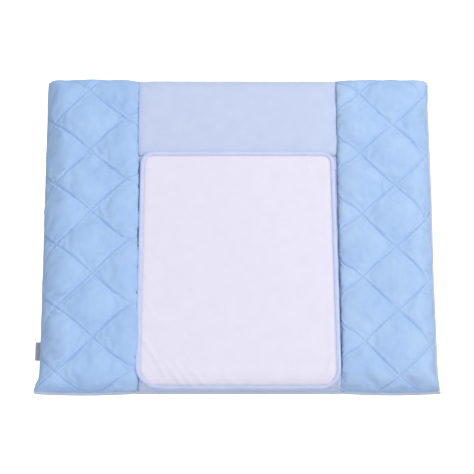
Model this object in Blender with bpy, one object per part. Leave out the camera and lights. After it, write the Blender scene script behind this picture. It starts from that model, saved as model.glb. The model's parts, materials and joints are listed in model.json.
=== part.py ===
"""A three-part baby changing pad: a plain centre between two thicker quilted side bolsters.

Frame: metres, +X across the pad, +Y from the front edge to the rear edge, +Z up.
The origin is on the underside, midway between the side edges and the front and rear edges.

Each section is a pillow: a knife-edge seam runs round its free sides at SEAM_Z, and a stitched
valley joins it to its neighbour. The layers of a section (cover, wadding, inner case, fill) are
the same pillow at growing insets, so they nest without touching.
"""

from math import copysign, cos, pi, radians, sin, sqrt

import bmesh
import bpy
from mathutils import Vector

# Driving dimensions of the whole pad
WIDTH = 0.844
DEPTH = 0.750
CENTRE_WIDTH = 0.440
SEAM_Z = 0.012
WING_CROWN = 0.062
CENTRE_CROWN = 0.0485
VALLEY_Z = 0.040
GAP = 0.0003

# How far each kind of edge takes to reach full height
WING_EDGE_ROUND = 0.055
CENTRE_EDGE_ROUND = 0.045
WING_SHOULDER = 0.022
CENTRE_SHOULDER = 0.060
UNDERSIDE_ROUND = 0.020
PANEL_STEPS = 4
INNER_STEPS = 3
MOST_SPACING = 0.150

# How far filling pulls the middle of each side and each end in, towards the pad's centre
SIDE_PULL = 0.004
END_PULL = 0.003

# Insets of the layers, measured from the outside of the cover
COVER = 0.0012
WADDING_OUT = 0.0018
WADDING_IN = 0.0090
WING_CASE_OUT = 0.0120
WING_CASE_IN = 0.0132
CENTRE_CASE_OUT = 0.0045
CENTRE_CASE_IN = 0.0057
FILL_CLEAR = 0.0016
WALL_THICK = 0.0010
WALL_CLEAR = 0.0015
RIM = 0.0002
CASE_RIM = 0.0010
SLIT_LENGTH = 0.16

# The wings fold over the centre about axes at the height of their crown
HINGE_Z = WING_CROWN
SEAM_X = CENTRE_WIDTH / 2

# The cross seam in the centre, under the towel's rear edge
CROSS_SEAM_Y = 0.171

# Zip on the underside of the centre, running across
ZIP_Y = 0.120
ZIP_LENGTH = 0.436
ZIP_RECESS = 0.0030
ZIP_RECESS_ROUND = 0.016
ZIP_OPENING = 0.0055
TAPE_WIDTH = 0.013
TAPE_THICK = 0.0006
COIL_WIDTH = 0.0026
COIL_THICK = 0.0013
ZIP_SPLIT = 0.0013
SLIDER_LENGTH = 0.010
SLIDER_WIDTH = 0.0088
PLATE = 0.0010
STOP_LENGTH = 0.004
SLIDER_X = 0.205
NECK_BACK = 0.0030
NECK_FRONT = 0.0010
PULL_LENGTH = 0.024
PULL_WIDTH = 0.0060
PULL_THICK = 0.0011
GRIP_HOLE_LENGTH = 0.0060
GRIP_HOLE_WIDTH = 0.0030
GRIP_HOLE_EDGE = 0.0020
BAIL_THICK = 0.0010
AXLE_THICK = 0.0005
RECESS_STEPS = 3

# Towel over the centre
TOWEL_HALF_WIDTH = 0.2135
TOWEL_BEND_Y = -0.328
TOWEL_BEND_RADIUS = 0.049
TOWEL_FRONT = TOWEL_BEND_Y - TOWEL_BEND_RADIUS * radians(58)
TOWEL_REAR = 0.1750
CORNER_STEP = 15
CORNER_STEPS = 6
TOWEL_REAR_RADIUS = 0.028
TOWEL_FRONT_RADIUS = 0.040
TOWEL_LIFT = 0.0034
BACKING_THICK = 0.0008
TERRY_THICK = 0.0020
BINDING_WIDTH = 0.009
BINDING_THICK = 0.0007
BINDING_PROUD = 0.0012

# Snap fasteners that hold the towel, one near each corner
SNAP_X = 0.192
SNAP_FRONT_Y = -0.312
SNAP_REAR_Y = 0.145
TAB_HALF_WIDTH = 0.011
TAB_TOP_Z = 0.0487
TAB_EDGE_THICK = 0.0006
STUD_RADIUS = 0.0050
STUD_FLANGE = 0.0006
STUD_HEIGHT = 0.0014
SOCKET_RADIUS = 0.0055
STUD_NECK = 0.0016
STUD_HEAD = 0.0021
SOCKET_BORE = 0.0025
ROUND_STEPS = 16

# Label on the left side seam
LABEL_Y = -0.279
LABEL_LENGTH = 0.042
LABEL_PROUD = 0.0095
LABEL_THICK = 0.0016


def clear_scene():
    for obj in list(bpy.data.objects):
        bpy.data.objects.remove(obj, do_unlink=True)


def linear(channel):
    """An sRGB channel from 0 to 255 as the linear value a shader takes."""
    value = channel / 255
    return value / 12.92 if value <= 0.04045 else ((value + 0.055) / 1.055) ** 2.4


def make_material(name, colour, roughness, metallic=0.0):
    material = bpy.data.materials.new(name)
    material.use_nodes = True
    shader = material.node_tree.nodes["Principled BSDF"]
    shader.inputs["Base Color"].default_value = (*(linear(c) for c in colour), 1.0)
    shader.inputs["Roughness"].default_value = roughness
    shader.inputs["Metallic"].default_value = metallic
    return material


def make_materials():
    return {
        "velour": make_material("velour", (168, 197, 238), 0.85),
        "plain_fabric": make_material("plain_fabric", (200, 212, 240), 0.80),
        "wadding": make_material("wadding", (244, 244, 242), 0.95),
        "case_cloth": make_material("case_cloth", (238, 238, 236), 0.90),
        "fibre_fill": make_material("fibre_fill", (248, 248, 246), 0.95),
        "terry": make_material("terry", (231, 228, 245), 0.90),
        "backing_film": make_material("backing_film", (236, 238, 242), 0.45),
        "binding_tape": make_material("binding_tape", (203, 213, 245), 0.75),
        "zip_tape": make_material("zip_tape", (196, 206, 232), 0.80),
        "zip_coil": make_material("zip_coil", (214, 220, 236), 0.40),
        "zip_metal": make_material("zip_metal", (196, 198, 202), 0.30, 1.0),
        "snap_plastic": make_material("snap_plastic", (232, 234, 240), 0.35),
        "label_tape": make_material("label_tape", (148, 148, 165), 0.75),
    }


def add_object(name, mesh, material, parent):
    obj = bpy.data.objects.new(name, mesh)
    bpy.context.scene.collection.objects.link(obj)
    obj.data.materials.append(material)
    if parent is not None:
        obj.parent = parent
        obj.matrix_parent_inverse = parent.matrix_world.inverted()
    return obj


def add_pivot(name, location, parent=None):
    """An empty on a joint's axis, which carries the pieces that turn or slide there."""
    pivot = bpy.data.objects.new(name, None)
    pivot.location = location
    bpy.context.scene.collection.objects.link(pivot)
    if parent is not None:
        pivot.parent = parent
        pivot.matrix_parent_inverse = parent.matrix_world.inverted()
    bpy.context.view_layer.update()
    return pivot


def finish_mesh(name, work, smooth=True):
    """Turns a bmesh into a mesh with its faces pointing out and its sharp edges marked."""
    bmesh.ops.recalc_face_normals(work, faces=work.faces[:])
    if work.calc_volume(signed=True) < 0:
        bmesh.ops.reverse_faces(work, faces=work.faces[:])
    mesh = bpy.data.meshes.new(name)
    work.to_mesh(mesh)
    work.free()
    if smooth:
        mesh.shade_smooth()
        mesh.set_sharp_from_angle(angle=radians(40))
    return mesh


# ---- pillow sections -------------------------------------------------------------------


def rise(distance, length):
    """A quarter-round rise from 0 at an edge to 1 at the given length from it."""
    if length <= 0 or distance >= length:
        return 1.0
    left = 1.0 - max(distance, 0.0) / length
    return sqrt(max(0.0, 1.0 - left * left))


def edge_lines(low, high, low_round, high_round, steps):
    """Grid lines from low to high, closer together where the surface curves at each end."""
    start = [low + low_round * (1 - cos(pi / 2 * k / steps)) for k in range(steps + 1)]
    end = [high - high_round * (1 - cos(pi / 2 * k / steps)) for k in range(steps + 1)]
    count = max(1, round((end[-1] - start[-1]) / MOST_SPACING + 0.5))
    span = (end[-1] - start[-1]) / count
    middle = [start[-1] + span * k for k in range(1, count)]
    return start + middle + end[::-1]


class Section:
    """One pillow of the pad: its plan, its crown, and which sides are seams to a neighbour."""

    def __init__(self, left, right, crown, edge_round, shoulder, seams):
        self.left, self.right, self.crown = left, right, crown
        self.front, self.rear = -DEPTH / 2, DEPTH / 2
        self.edge_round, self.shoulder, self.seams = edge_round, shoulder, seams

    def limits(self, inset, closed):
        """The plan at an inset. An open layer runs up to its seams, a closed one stays clear."""
        at_seam = inset if closed else GAP
        left = self.left + (at_seam if "left" in self.seams else inset)
        right = self.right - (at_seam if "right" in self.seams else inset)
        return left, right, self.front + inset, self.rear - inset

    def lines(self, inset, closed, steps):
        left, right, front, rear = self.limits(inset, closed)
        free = self.edge_round - inset
        rounds = [self.shoulder if side in self.seams else free for side in ("left", "right")]
        across = edge_lines(left, right, *rounds, steps)
        return across, edge_lines(front, rear, free, free, steps)

    def edge_distances(self, x, y, inset, closed):
        left, right, front, rear = self.limits(inset, closed)
        sides = {"left": x - left, "right": right - x, "front": y - front, "rear": rear - y}
        free = [d for side, d in sides.items() if side not in self.seams]
        return free, [d for side, d in sides.items() if side in self.seams]

    def top(self, x, y, inset=0.0, closed=False):
        free, seams = self.edge_distances(x, y, inset, closed)
        height = self.crown - inset
        for distance in seams:
            height -= (self.crown - VALLEY_Z) * (1 - rise(distance, self.shoulder))
        for distance in free:
            height = SEAM_Z + (height - SEAM_Z) * rise(distance, self.edge_round - inset)
        return height

    def bottom(self, x, y, inset=0.0, closed=False, floor=None):
        free, _ = self.edge_distances(x, y, inset, closed)
        low = inset if floor is None else floor
        share = 1.0
        for distance in free:
            share *= rise(distance, UNDERSIDE_ROUND)
        return SEAM_Z - (SEAM_Z - low) * share


def centre_section():
    return Section(-SEAM_X, SEAM_X, CENTRE_CROWN, CENTRE_EDGE_ROUND, CENTRE_SHOULDER, ("left", "right"))


def left_section():
    return Section(-WIDTH / 2, -SEAM_X, WING_CROWN, WING_EDGE_ROUND, WING_SHOULDER, ("right",))


def right_section():
    return Section(SEAM_X, WIDTH / 2, WING_CROWN, WING_EDGE_ROUND, WING_SHOULDER, ("left",))


def drawn_in(x, y):
    """The plan after filling: the sides pull in between the corners, which stay out as ears."""
    across, along = 2 * x / WIDTH, 2 * y / DEPTH
    past_seam = max(0.0, abs(x) - SEAM_X) / (WIDTH / 2 - SEAM_X)
    narrower = copysign(SIDE_PULL * past_seam**2 * (1 - along * along), x)
    shorter = END_PULL * along**3 * (1 - across * across)
    return x - narrower, y - shorter


def grid_points(across, along, height):
    return [[Vector((*drawn_in(x, y), height(x, y))) for y in along] for x in across]


def add_grid(work, points):
    """Adds a grid of vertices and its quads. Returns the vertices."""
    rows = [[work.verts.new(point) for point in row] for row in points]
    for a, b in zip(rows, rows[1:]):
        for j in range(len(a) - 1):
            work.faces.new((a[j], b[j], b[j + 1], a[j + 1]))
    return rows


def border(rows):
    """The vertices round a grid's edge, in order."""
    last = len(rows[0]) - 1
    loop = [row[0] for row in rows]
    loop += rows[-1][1:]
    loop += [row[last] for row in rows[-2::-1]]
    return loop + [rows[0][j] for j in range(last - 1, 0, -1)]


def join_borders(work, first, second, skip=()):
    """Walls between two borders with equal counts, leaving out the numbered segments."""
    count = len(first)
    for k in range(count):
        if k in skip:
            continue
        n = (k + 1) % count
        work.faces.new((first[k], first[n], second[n], second[k]))


def sheet(name, upper, lower, material, parent):
    """A closed sheet between two grids of the same size."""
    work = bmesh.new()
    outer, inner = add_grid(work, upper), add_grid(work, lower)
    join_borders(work, border(outer), border(inner))
    return add_object(name, finish_mesh(name, work), material, parent)


def cover_top(name, section, material, parent, out=0.0, thick=COVER, keep=None):
    """The upper cover of a section, from the knife-edge seam over the crown to its valley."""
    grids = []
    for inset in (out, out + thick):
        across, along = section.lines(inset, False, PANEL_STEPS)
        if keep is not None:
            along = keep(along)
        points = grid_points(across, along, lambda x, y: section.top(x, y, inset))
        grids.append([[p + Vector((0, 0, RIM)) for p in row] for row in points])
    return sheet(name, grids[0], grids[1], material, parent)


def recessed(section, inset, lift):
    """The underside's height, raised beside the zip."""

    def height(x, y):
        return section.bottom(x, y, inset) + lift * recess_share(y) - RIM * edge_share(section, x, y)

    return height


def recess_share(y):
    """1 at the zip's opening, falling smoothly to 0 at the end of the recess."""
    distance = abs(y - ZIP_Y) - ZIP_OPENING
    share = min(1.0, max(0.0, 1 - distance / ZIP_RECESS_ROUND))
    return share * share * (3 - 2 * share)


def edge_share(section, x, y):
    """1 on the knife-edge seam, 0 where the underside is flat."""
    free, _ = section.edge_distances(x, y, 0.0, False)
    return 1 - min([1.0] + [rise(distance, UNDERSIDE_ROUND) for distance in free])


def cover_back(name, section, material, parent, keep=None):
    """The underside's cover: flat on the floor, curling up to the knife-edge seam."""
    grids = []
    for inset in (0.0, COVER):
        left, right, front, rear = section.limits(inset, False)
        rounds = [0.0 if side in section.seams else UNDERSIDE_ROUND for side in ("left", "right")]
        across = sorted(set(edge_lines(left, right, *rounds, INNER_STEPS)))
        along = edge_lines(front, rear, UNDERSIDE_ROUND, UNDERSIDE_ROUND, INNER_STEPS)
        if keep is not None:
            along = keep(along)
        lift = ZIP_RECESS if keep is not None else 0.0
        grids.append(grid_points(across, along, recessed(section, inset, lift)))
    return sheet(name, grids[0], grids[1], material, parent)


def pillow_grids(section, inset, floor, steps):
    """Upper and lower grids of a closed pillow with a low wall round its rim."""
    across, along = section.lines(inset, True, steps)
    upper = grid_points(across, along, lambda x, y: section.top(x, y, inset, True) + CASE_RIM)
    lower = grid_points(
        across, along, lambda x, y: section.bottom(x, y, inset, True, floor) - CASE_RIM
    )
    return upper, lower


def fill_block(name, section, inset, floor, material, parent):
    """The fibre fill, a solid pillow."""
    work = bmesh.new()
    upper, lower = pillow_grids(section, inset, floor + FILL_CLEAR, INNER_STEPS)
    outer, inner = add_grid(work, upper), add_grid(work, lower)
    join_borders(work, border(outer), border(inner))
    return add_object(name, finish_mesh(name, work), material, parent)


def slit_segments(rows):
    """The border segments along the rear edge that the filling slit leaves open."""
    count, last = len(rows), len(rows[0]) - 1
    first_rear = (count - 1) + last
    middle = (rows[0][last].co.x + rows[-1][last].co.x) / 2
    chosen = []
    for k in range(count - 1):
        a, b = rows[count - 1 - k][last].co.x, rows[count - 2 - k][last].co.x
        if abs((a + b) / 2 - middle) < SLIT_LENGTH / 2:
            chosen.append(first_rear + k)
    return chosen


def inner_case(name, section, out, inner, floor, material, parent):
    """A thin pillow case with a filling slit along its rear seam."""
    work = bmesh.new()
    outside = [add_grid(work, grid) for grid in pillow_grids(section, out, floor, INNER_STEPS)]
    wall = inner - out
    inside = [add_grid(work, grid) for grid in pillow_grids(section, inner, floor + wall, INNER_STEPS)]
    slit = slit_segments(outside[0])
    loops = [border(rows) for rows in outside + inside]
    join_borders(work, loops[0], loops[1], slit)
    join_borders(work, loops[2], loops[3], slit)
    for k in slit:
        n = (k + 1) % len(loops[0])
        work.faces.new((loops[0][k], loops[0][n], loops[2][n], loops[2][k]))
        work.faces.new((loops[1][k], loops[1][n], loops[3][n], loops[3][k]))
    for k in (slit[0], slit[-1] + 1):
        work.faces.new((loops[0][k], loops[2][k], loops[3][k], loops[1][k]))
    return add_object(name, finish_mesh(name, work), material, parent)


def side_wall(name, section, sign, under, floor, material, parent):
    """The cloth wall that closes a section beside a seam, below the layer at inset under."""
    x = sign * SEAM_X
    inward = 1 if section.right > x + GAP else -1
    near = x + inward * 2 * GAP
    along = section.lines(under, False, PANEL_STEPS)[1][1:-1]
    grids = []
    for reach in (near, near + inward * WALL_THICK):
        spots = [drawn_in(reach, y) for y in along]
        lows = [max(section.bottom(near, y, COVER) + WALL_CLEAR, floor) for y in along]
        highs = [section.top(x, y, under) - WALL_CLEAR for y in along]
        grids.append([[Vector((*spot, z)) for spot, z in zip(spots, side)] for side in (lows, highs)])
    return sheet(name, grids[0], grids[1], material, parent)


def beyond(limit, keep_above):
    """Cuts a list of grid lines at a limit, with a line on the limit itself."""

    def keep(lines):
        if keep_above:
            return [limit] + [y for y in lines if y > limit + 2 * GAP]
        return [y for y in lines if y < limit - 2 * GAP] + [limit]

    return keep


def zip_side(keep_above):
    """Grid lines of the back panel on one side of the zip, with lines down the recess."""

    def keep(lines):
        sign = 1 if keep_above else -1
        share = [k / RECESS_STEPS for k in range(RECESS_STEPS + 1)]
        recess = [ZIP_Y + sign * (ZIP_OPENING + ZIP_RECESS_ROUND * s) for s in share]
        if keep_above:
            return recess + [y for y in lines if y > recess[-1] + GAP]
        return [y for y in lines if y < recess[-1] - GAP] + recess[::-1]

    return keep


# ---- plain shapes ----------------------------------------------------------------------


def box_faces(work, low, high):
    made = bmesh.ops.create_cube(work, size=1.0)["verts"]
    size = [b - a for a, b in zip(low, high)]
    for vert in made:
        vert.co = Vector([a + s * (c + 0.5) for a, s, c in zip(low, size, vert.co)])


def block(name, low, high, material, parent, bevel=0.0):
    work = bmesh.new()
    box_faces(work, low, high)
    if bevel:
        bmesh.ops.bevel(work, geom=work.edges[:], offset=bevel, segments=1, affect="EDGES")
    return add_object(name, finish_mesh(name, work, smooth=False), material, parent)


def turned(name, profile, centre, material, parent):
    """A solid turned about a vertical axis from (radius, height) points on and off the axis."""
    work = bmesh.new()
    rings = []
    for radius, height in profile:
        if radius == 0:
            rings.append([work.verts.new((centre[0], centre[1], height))])
            continue
        turn = [2 * pi * k / ROUND_STEPS for k in range(ROUND_STEPS)]
        spots = [(centre[0] + radius * cos(a), centre[1] + radius * sin(a), height) for a in turn]
        rings.append([work.verts.new(spot) for spot in spots])
    for low, high in zip(rings, rings[1:]):
        for k in range(ROUND_STEPS):
            n = (k + 1) % ROUND_STEPS
            corners = [low[k % len(low)], low[n % len(low)], high[n % len(high)], high[k % len(high)]]
            work.faces.new(list(dict.fromkeys(corners)))
    return add_object(name, finish_mesh(name, work), material, parent)


def join_solids(target, others):
    """Joins solids into the first with exact unions, and removes the rest."""
    for other in others:
        union = target.modifiers.new("join", "BOOLEAN")
        union.operation = "UNION"
        union.object = other
        bpy.context.view_layer.update()
        graph = bpy.context.evaluated_depsgraph_get()
        joined = bpy.data.meshes.new_from_object(target.evaluated_get(graph))
        target.modifiers.clear()
        target.data = joined
        bpy.data.objects.remove(other, do_unlink=True)


# ---- the pad's sections ----------------------------------------------------------------


def build_wing(side, section, materials, parent):
    sign = -1 if side == "left" else 1
    side_wall(f"{side}_inner_wall", section, sign, WADDING_IN, 0.0, materials["plain_fabric"], parent)
    cover_top(f"{side}_quilted_panel", section, materials["velour"], parent)
    wadding_thick = WADDING_IN - WADDING_OUT
    cover_top(
        f"{side}_quilt_wadding", section, materials["wadding"], parent, WADDING_OUT, wadding_thick
    )
    cover_back(f"{side}_back_panel", section, materials["plain_fabric"], parent)
    inner_case(
        f"{side}_inner_case", section, WING_CASE_OUT, WING_CASE_IN, COVER + 2 * CASE_RIM,
        materials["case_cloth"], parent,
    )
    fill_block(
        f"{side}_bolster_fill", section, WING_CASE_IN + FILL_CLEAR, COVER + 3 * CASE_RIM,
        materials["fibre_fill"], parent,
    )


def build_centre(materials):
    section = centre_section()
    plain = materials["plain_fabric"]
    rear = beyond(CROSS_SEAM_Y + GAP, True)
    front = beyond(CROSS_SEAM_Y - GAP, False)
    above_zip = ZIP_RECESS + COVER + WALL_CLEAR
    side_wall("centre_left_wall", section, -1, COVER, above_zip, plain, None)
    side_wall("centre_right_wall", section, 1, COVER, above_zip, plain, None)
    cover_top("centre_rear_panel", section, plain, None, keep=rear)
    cover_top("centre_front_panel", section, plain, None, keep=front)
    cover_back("back_rear_panel", section, plain, None, keep=zip_side(True))
    cover_back("back_front_panel", section, plain, None, keep=zip_side(False))
    floor = zip_levels()["top"] + CASE_RIM + GAP
    inner_case(
        "centre_inner_case", section, CENTRE_CASE_OUT, CENTRE_CASE_IN, floor,
        materials["case_cloth"], None,
    )
    fill_block(
        "centre_fill", section, CENTRE_CASE_IN + FILL_CLEAR, floor + CASE_RIM,
        materials["fibre_fill"], None,
    )


# ---- zip -------------------------------------------------------------------------------


def zip_levels():
    """Heights in the zip, upwards from the back panels' inner face beside the opening."""
    tape = ZIP_RECESS + COVER + GAP
    coil = tape + TAPE_THICK + GAP
    plate = coil + COIL_THICK + GAP
    lower = tape - GAP - PLATE
    return {"tape": tape, "coil": coil, "plate": plate, "top": plate + PLATE, "lower": lower}


def build_zip_sides(materials):
    levels = zip_levels()
    half = ZIP_LENGTH / 2
    for side, sign in (("front", -1), ("rear", 1)):
        inner, outer = ZIP_Y + sign * ZIP_SPLIT, ZIP_Y + sign * (ZIP_SPLIT + TAPE_WIDTH)
        coil_edge = ZIP_Y + sign * (ZIP_SPLIT + COIL_WIDTH)
        low, high = sorted((inner, outer))
        block(
            f"zip_{side}_tape", (-half, low, levels["tape"]),
            (half, high, levels["tape"] + TAPE_THICK), materials["zip_tape"], None,
        )
        low, high = sorted((inner, coil_edge))
        reach = half - STOP_LENGTH - GAP
        block(
            f"zip_{side}_coil", (-reach, low, levels["coil"]),
            (reach, high, levels["coil"] + COIL_THICK), materials["zip_coil"], None, 0.0003,
        )
    for end, sign in (("left", -1), ("right", 1)):
        low, high = sorted((sign * half, sign * (half - STOP_LENGTH)))
        block(
            f"zip_{end}_stop", (low, ZIP_Y - ZIP_SPLIT - COIL_WIDTH, levels["coil"]),
            (high, ZIP_Y + ZIP_SPLIT + COIL_WIDTH, levels["coil"] + COIL_THICK),
            materials["zip_metal"], None, 0.0003,
        )


def build_slider(materials, parent):
    """Two plates joined by a neck that runs between the coils, with a bail for the pull."""
    levels = zip_levels()
    metal = materials["zip_metal"]
    x, half_x, half_y = SLIDER_X, SLIDER_LENGTH / 2, SLIDER_WIDTH / 2
    slider = block(
        "zip_slider", (x - half_x, ZIP_Y - half_y, levels["plate"]),
        (x + half_x, ZIP_Y + half_y, levels["top"]), metal, parent, 0.0002,
    )
    lower = block(
        "lower_plate", (x - half_x, ZIP_Y - half_y, levels["lower"]),
        (x + half_x, ZIP_Y + half_y, levels["lower"] + PLATE), metal, parent, 0.0002,
    )
    neck_half = ZIP_SPLIT - 2 * GAP
    neck = block(
        "neck", (x - NECK_BACK, ZIP_Y - neck_half, levels["lower"] + PLATE / 2),
        (x + NECK_FRONT, ZIP_Y + neck_half, levels["plate"] + PLATE / 2), metal, parent,
    )
    axle_z = pull_axis_z()
    axle_half = AXLE_THICK / 2
    posts = []
    for sign in (-1, 1):
        edge = ZIP_Y + sign * (PULL_WIDTH / 2 + 2 * GAP)
        low, high = sorted((edge, edge + sign * BAIL_THICK))
        posts.append(
            block(
                f"bail_post_{sign}", (x - BAIL_THICK / 2, low, axle_z - BAIL_THICK / 2),
                (x + BAIL_THICK / 2, high, levels["lower"] + PLATE / 2), metal, parent,
            )
        )
    reach = PULL_WIDTH / 2 + 2 * GAP + BAIL_THICK / 2
    axle = block(
        "bail_axle", (x - axle_half, ZIP_Y - reach, axle_z - axle_half),
        (x + axle_half, ZIP_Y + reach, axle_z + axle_half), metal, parent,
    )
    join_solids(slider, [neck, lower, *posts, axle])


def pull_axis_z():
    return zip_levels()["lower"] - PULL_THICK / 2 - GAP


def build_pull(materials, parent):
    """A flat tab with an eye round the slider's axle and a finger hole at its free end."""
    z = pull_axis_z()
    half = PULL_THICK / 2
    metal = materials["zip_metal"]
    tip = SLIDER_X - PULL_LENGTH
    pull = block(
        "zip_pull", (tip, ZIP_Y - PULL_WIDTH / 2, z - half),
        (SLIDER_X + half, ZIP_Y + PULL_WIDTH / 2, z + half), metal, parent,
    )
    slack = AXLE_THICK / 2 + GAP / 2
    low = (SLIDER_X - slack, ZIP_Y - PULL_WIDTH, z - slack)
    high = (SLIDER_X + slack, ZIP_Y + PULL_WIDTH, z + slack)
    cutters = [block("eye_cutter", low, high, metal, parent)]
    hole = tip + GRIP_HOLE_EDGE
    low = (hole, ZIP_Y - GRIP_HOLE_WIDTH / 2, z - PULL_THICK)
    high = (hole + GRIP_HOLE_LENGTH, ZIP_Y + GRIP_HOLE_WIDTH / 2, z + PULL_THICK)
    cutters.append(block("grip_cutter", low, high, metal, parent))
    for cutter in cutters:
        cutter.hide_render = True
        cutter.display_type = "WIRE"
        cut = pull.modifiers.new("cut", "BOOLEAN")
        cut.operation = "DIFFERENCE"
        cut.object = cutter


# ---- towel -----------------------------------------------------------------------------


def towel_point(x, along, height):
    """A point at a height above the towel's underside, with the towel bent down over the front.

    along is Y while the towel lies level, and keeps counting the towel's own length round the bend.
    """
    level = CENTRE_CROWN + TOWEL_LIFT
    past = TOWEL_BEND_Y - along
    if past <= 0:
        return Vector((x, along, level + height))
    angle = past / TOWEL_BEND_RADIUS
    reach = TOWEL_BEND_RADIUS + height
    return Vector((x, TOWEL_BEND_Y - reach * sin(angle), level - TOWEL_BEND_RADIUS + reach * cos(angle)))


def towel_half_width(along):
    """Half the towel's width, with its rounded corners."""
    half = TOWEL_HALF_WIDTH
    for distance, radius in (
        (along - TOWEL_FRONT, TOWEL_FRONT_RADIUS),
        (TOWEL_REAR - along, TOWEL_REAR_RADIUS),
    ):
        if distance < radius:
            left = radius - max(distance, 0.0)
            half -= radius - sqrt(max(0.0, radius * radius - left * left))
    return half


def towel_rows():
    """Grid lines along the towel, dense at its rounded corners and over the front bend."""
    turns = [1 - cos(radians(CORNER_STEP * k)) for k in range(CORNER_STEPS + 1)]
    front = [TOWEL_FRONT + TOWEL_FRONT_RADIUS * turn for turn in turns]
    rear = [TOWEL_REAR - TOWEL_REAR_RADIUS * turn for turn in turns]
    span = rear[-1] - TOWEL_BEND_Y
    return front + [TOWEL_BEND_Y + span * k / 3 for k in range(3)] + rear[::-1]


def towel_sheet(name, low, high, material, parent):
    """A layer of the towel between two heights above its underside."""
    grids = []
    for height in (high, low):
        grid = []
        for share in (-1.0, -0.5, 0.0, 0.5, 1.0):
            grid.append([towel_point(share * towel_half_width(t), t, height) for t in towel_rows()])
        grids.append(grid)
    return sheet(name, grids[0], grids[1], material, parent)


def towel_outline(margin):
    """The flat towel's outline moved out by margin, anticlockwise from the front right corner."""
    loop = []
    corners = (
        (1, TOWEL_FRONT + TOWEL_FRONT_RADIUS, TOWEL_FRONT_RADIUS, -90),
        (1, TOWEL_REAR - TOWEL_REAR_RADIUS, TOWEL_REAR_RADIUS, 0),
        (-1, TOWEL_REAR - TOWEL_REAR_RADIUS, TOWEL_REAR_RADIUS, 90),
        (-1, TOWEL_FRONT + TOWEL_FRONT_RADIUS, TOWEL_FRONT_RADIUS, 180),
    )
    for side, along, radius, start in corners:
        x = side * (TOWEL_HALF_WIDTH - radius)
        reach = radius + margin
        for k in range(CORNER_STEPS + 1):
            angle = radians(start + CORNER_STEP * k)
            loop.append((x + reach * cos(angle), along + reach * sin(angle)))
    side = TOWEL_HALF_WIDTH + margin
    loop.insert(CORNER_STEPS + 1, (side, TOWEL_BEND_Y))
    loop.insert(3 * (CORNER_STEPS + 1) + 1, (-side, TOWEL_BEND_Y))
    return loop


def towel_binding(materials, parent):
    """A tape folded round the towel's edge: a channel swept along the outline."""
    low = -2 * GAP
    high = BACKING_THICK + GAP + TERRY_THICK + 2 * GAP
    middle = -BINDING_WIDTH / 2
    section = (
        (-BINDING_WIDTH, low - BINDING_THICK),
        (middle, low - BINDING_THICK),
        (BINDING_PROUD, low - BINDING_THICK),
        (BINDING_PROUD, high + BINDING_THICK),
        (middle, high + BINDING_THICK),
        (-BINDING_WIDTH, high + BINDING_THICK),
        (-BINDING_WIDTH, high),
        (middle, high),
        (2 * GAP, high),
        (2 * GAP, low),
        (middle, low),
        (-BINDING_WIDTH, low),
    )
    work = bmesh.new()
    loops = []
    for margin, height in section:
        loops.append([work.verts.new(towel_point(x, t, height)) for x, t in towel_outline(margin)])
    for k, loop in enumerate(loops):
        join_borders(work, loop, loops[(k + 1) % len(loops)])
    name = "towel_binding"
    return add_object(name, finish_mesh(name, work), materials["binding_tape"], parent)


def build_towel(materials, parent):
    towel_sheet("towel_backing", 0.0, BACKING_THICK, materials["backing_film"], parent)
    base = BACKING_THICK + GAP
    towel_sheet("towel_face", base, base + TERRY_THICK, materials["terry"], parent)
    towel_binding(materials, parent)


# ---- snap fasteners --------------------------------------------------------------------


def snap_places():
    for end, y in (("front", SNAP_FRONT_Y), ("rear", SNAP_REAR_Y)):
        for side, sign in (("left", -1), ("right", 1)):
            yield f"{end}_{side}", sign, y


def build_tab(name, sign, y, materials):
    """A folded fabric tab that starts in the side seam and carries the stud."""
    section = centre_section()
    lines = section.lines(0.0, False, PANEL_STEPS)[0][-PANEL_STEPS:][::-1]
    across = [lines[0] - GAP] + lines[1:]
    along = [y - TAB_HALF_WIDTH, y + TAB_HALF_WIDTH]

    def under(x, spot):
        return section.top(sign * x, spot) + RIM + GAP

    def over(x, spot):
        level = min(1.0, (lines[0] - x) / (lines[0] - lines[2]))
        return (under(x, spot) + TAB_EDGE_THICK) * (1 - level) + TAB_TOP_Z * level

    grids = []
    for height in (over, under):
        grids.append(grid_points([sign * x for x in across], along, lambda x, s: height(abs(x), s)))
    return sheet(name, grids[0], grids[1], materials["plain_fabric"], None)


def build_snaps(materials, towel):
    """Studs on the tabs and blind sockets under the towel, which lift straight off them."""
    base = TAB_TOP_Z + GAP
    flange = base + STUD_FLANGE
    head = flange + STUD_HEIGHT
    mouth = flange + GAP
    top = CENTRE_CROWN + TOWEL_LIFT - GAP
    plastic = materials["snap_plastic"]
    stud = (
        (0, base),
        (STUD_RADIUS, base),
        (STUD_RADIUS, flange),
        (STUD_NECK, flange),
        (STUD_HEAD, head - STUD_FLANGE),
        (STUD_NECK, head),
        (0, head),
    )
    socket = (
        (0, head + GAP),
        (SOCKET_BORE, head + GAP),
        (SOCKET_BORE, mouth),
        (SOCKET_RADIUS, mouth),
        (SOCKET_RADIUS, top),
        (0, top),
    )
    for name, sign, y in snap_places():
        centre = (sign * SNAP_X, y)
        build_tab(f"snap_tab_{name}", sign, y, materials)
        turned(f"snap_stud_{name}", stud, centre, plastic, None)
        turned(f"snap_socket_{name}", socket, centre, plastic, towel)


def build_label(materials, parent):
    edge = drawn_in(-WIDTH / 2, LABEL_Y - LABEL_LENGTH / 2)[0] - GAP
    low = (edge - LABEL_PROUD, LABEL_Y - LABEL_LENGTH / 2, SEAM_Z - LABEL_THICK / 2)
    high = (edge, LABEL_Y + LABEL_LENGTH / 2, SEAM_Z + LABEL_THICK / 2)
    block("side_label", low, high, materials["label_tape"], parent, 0.0003)


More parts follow.
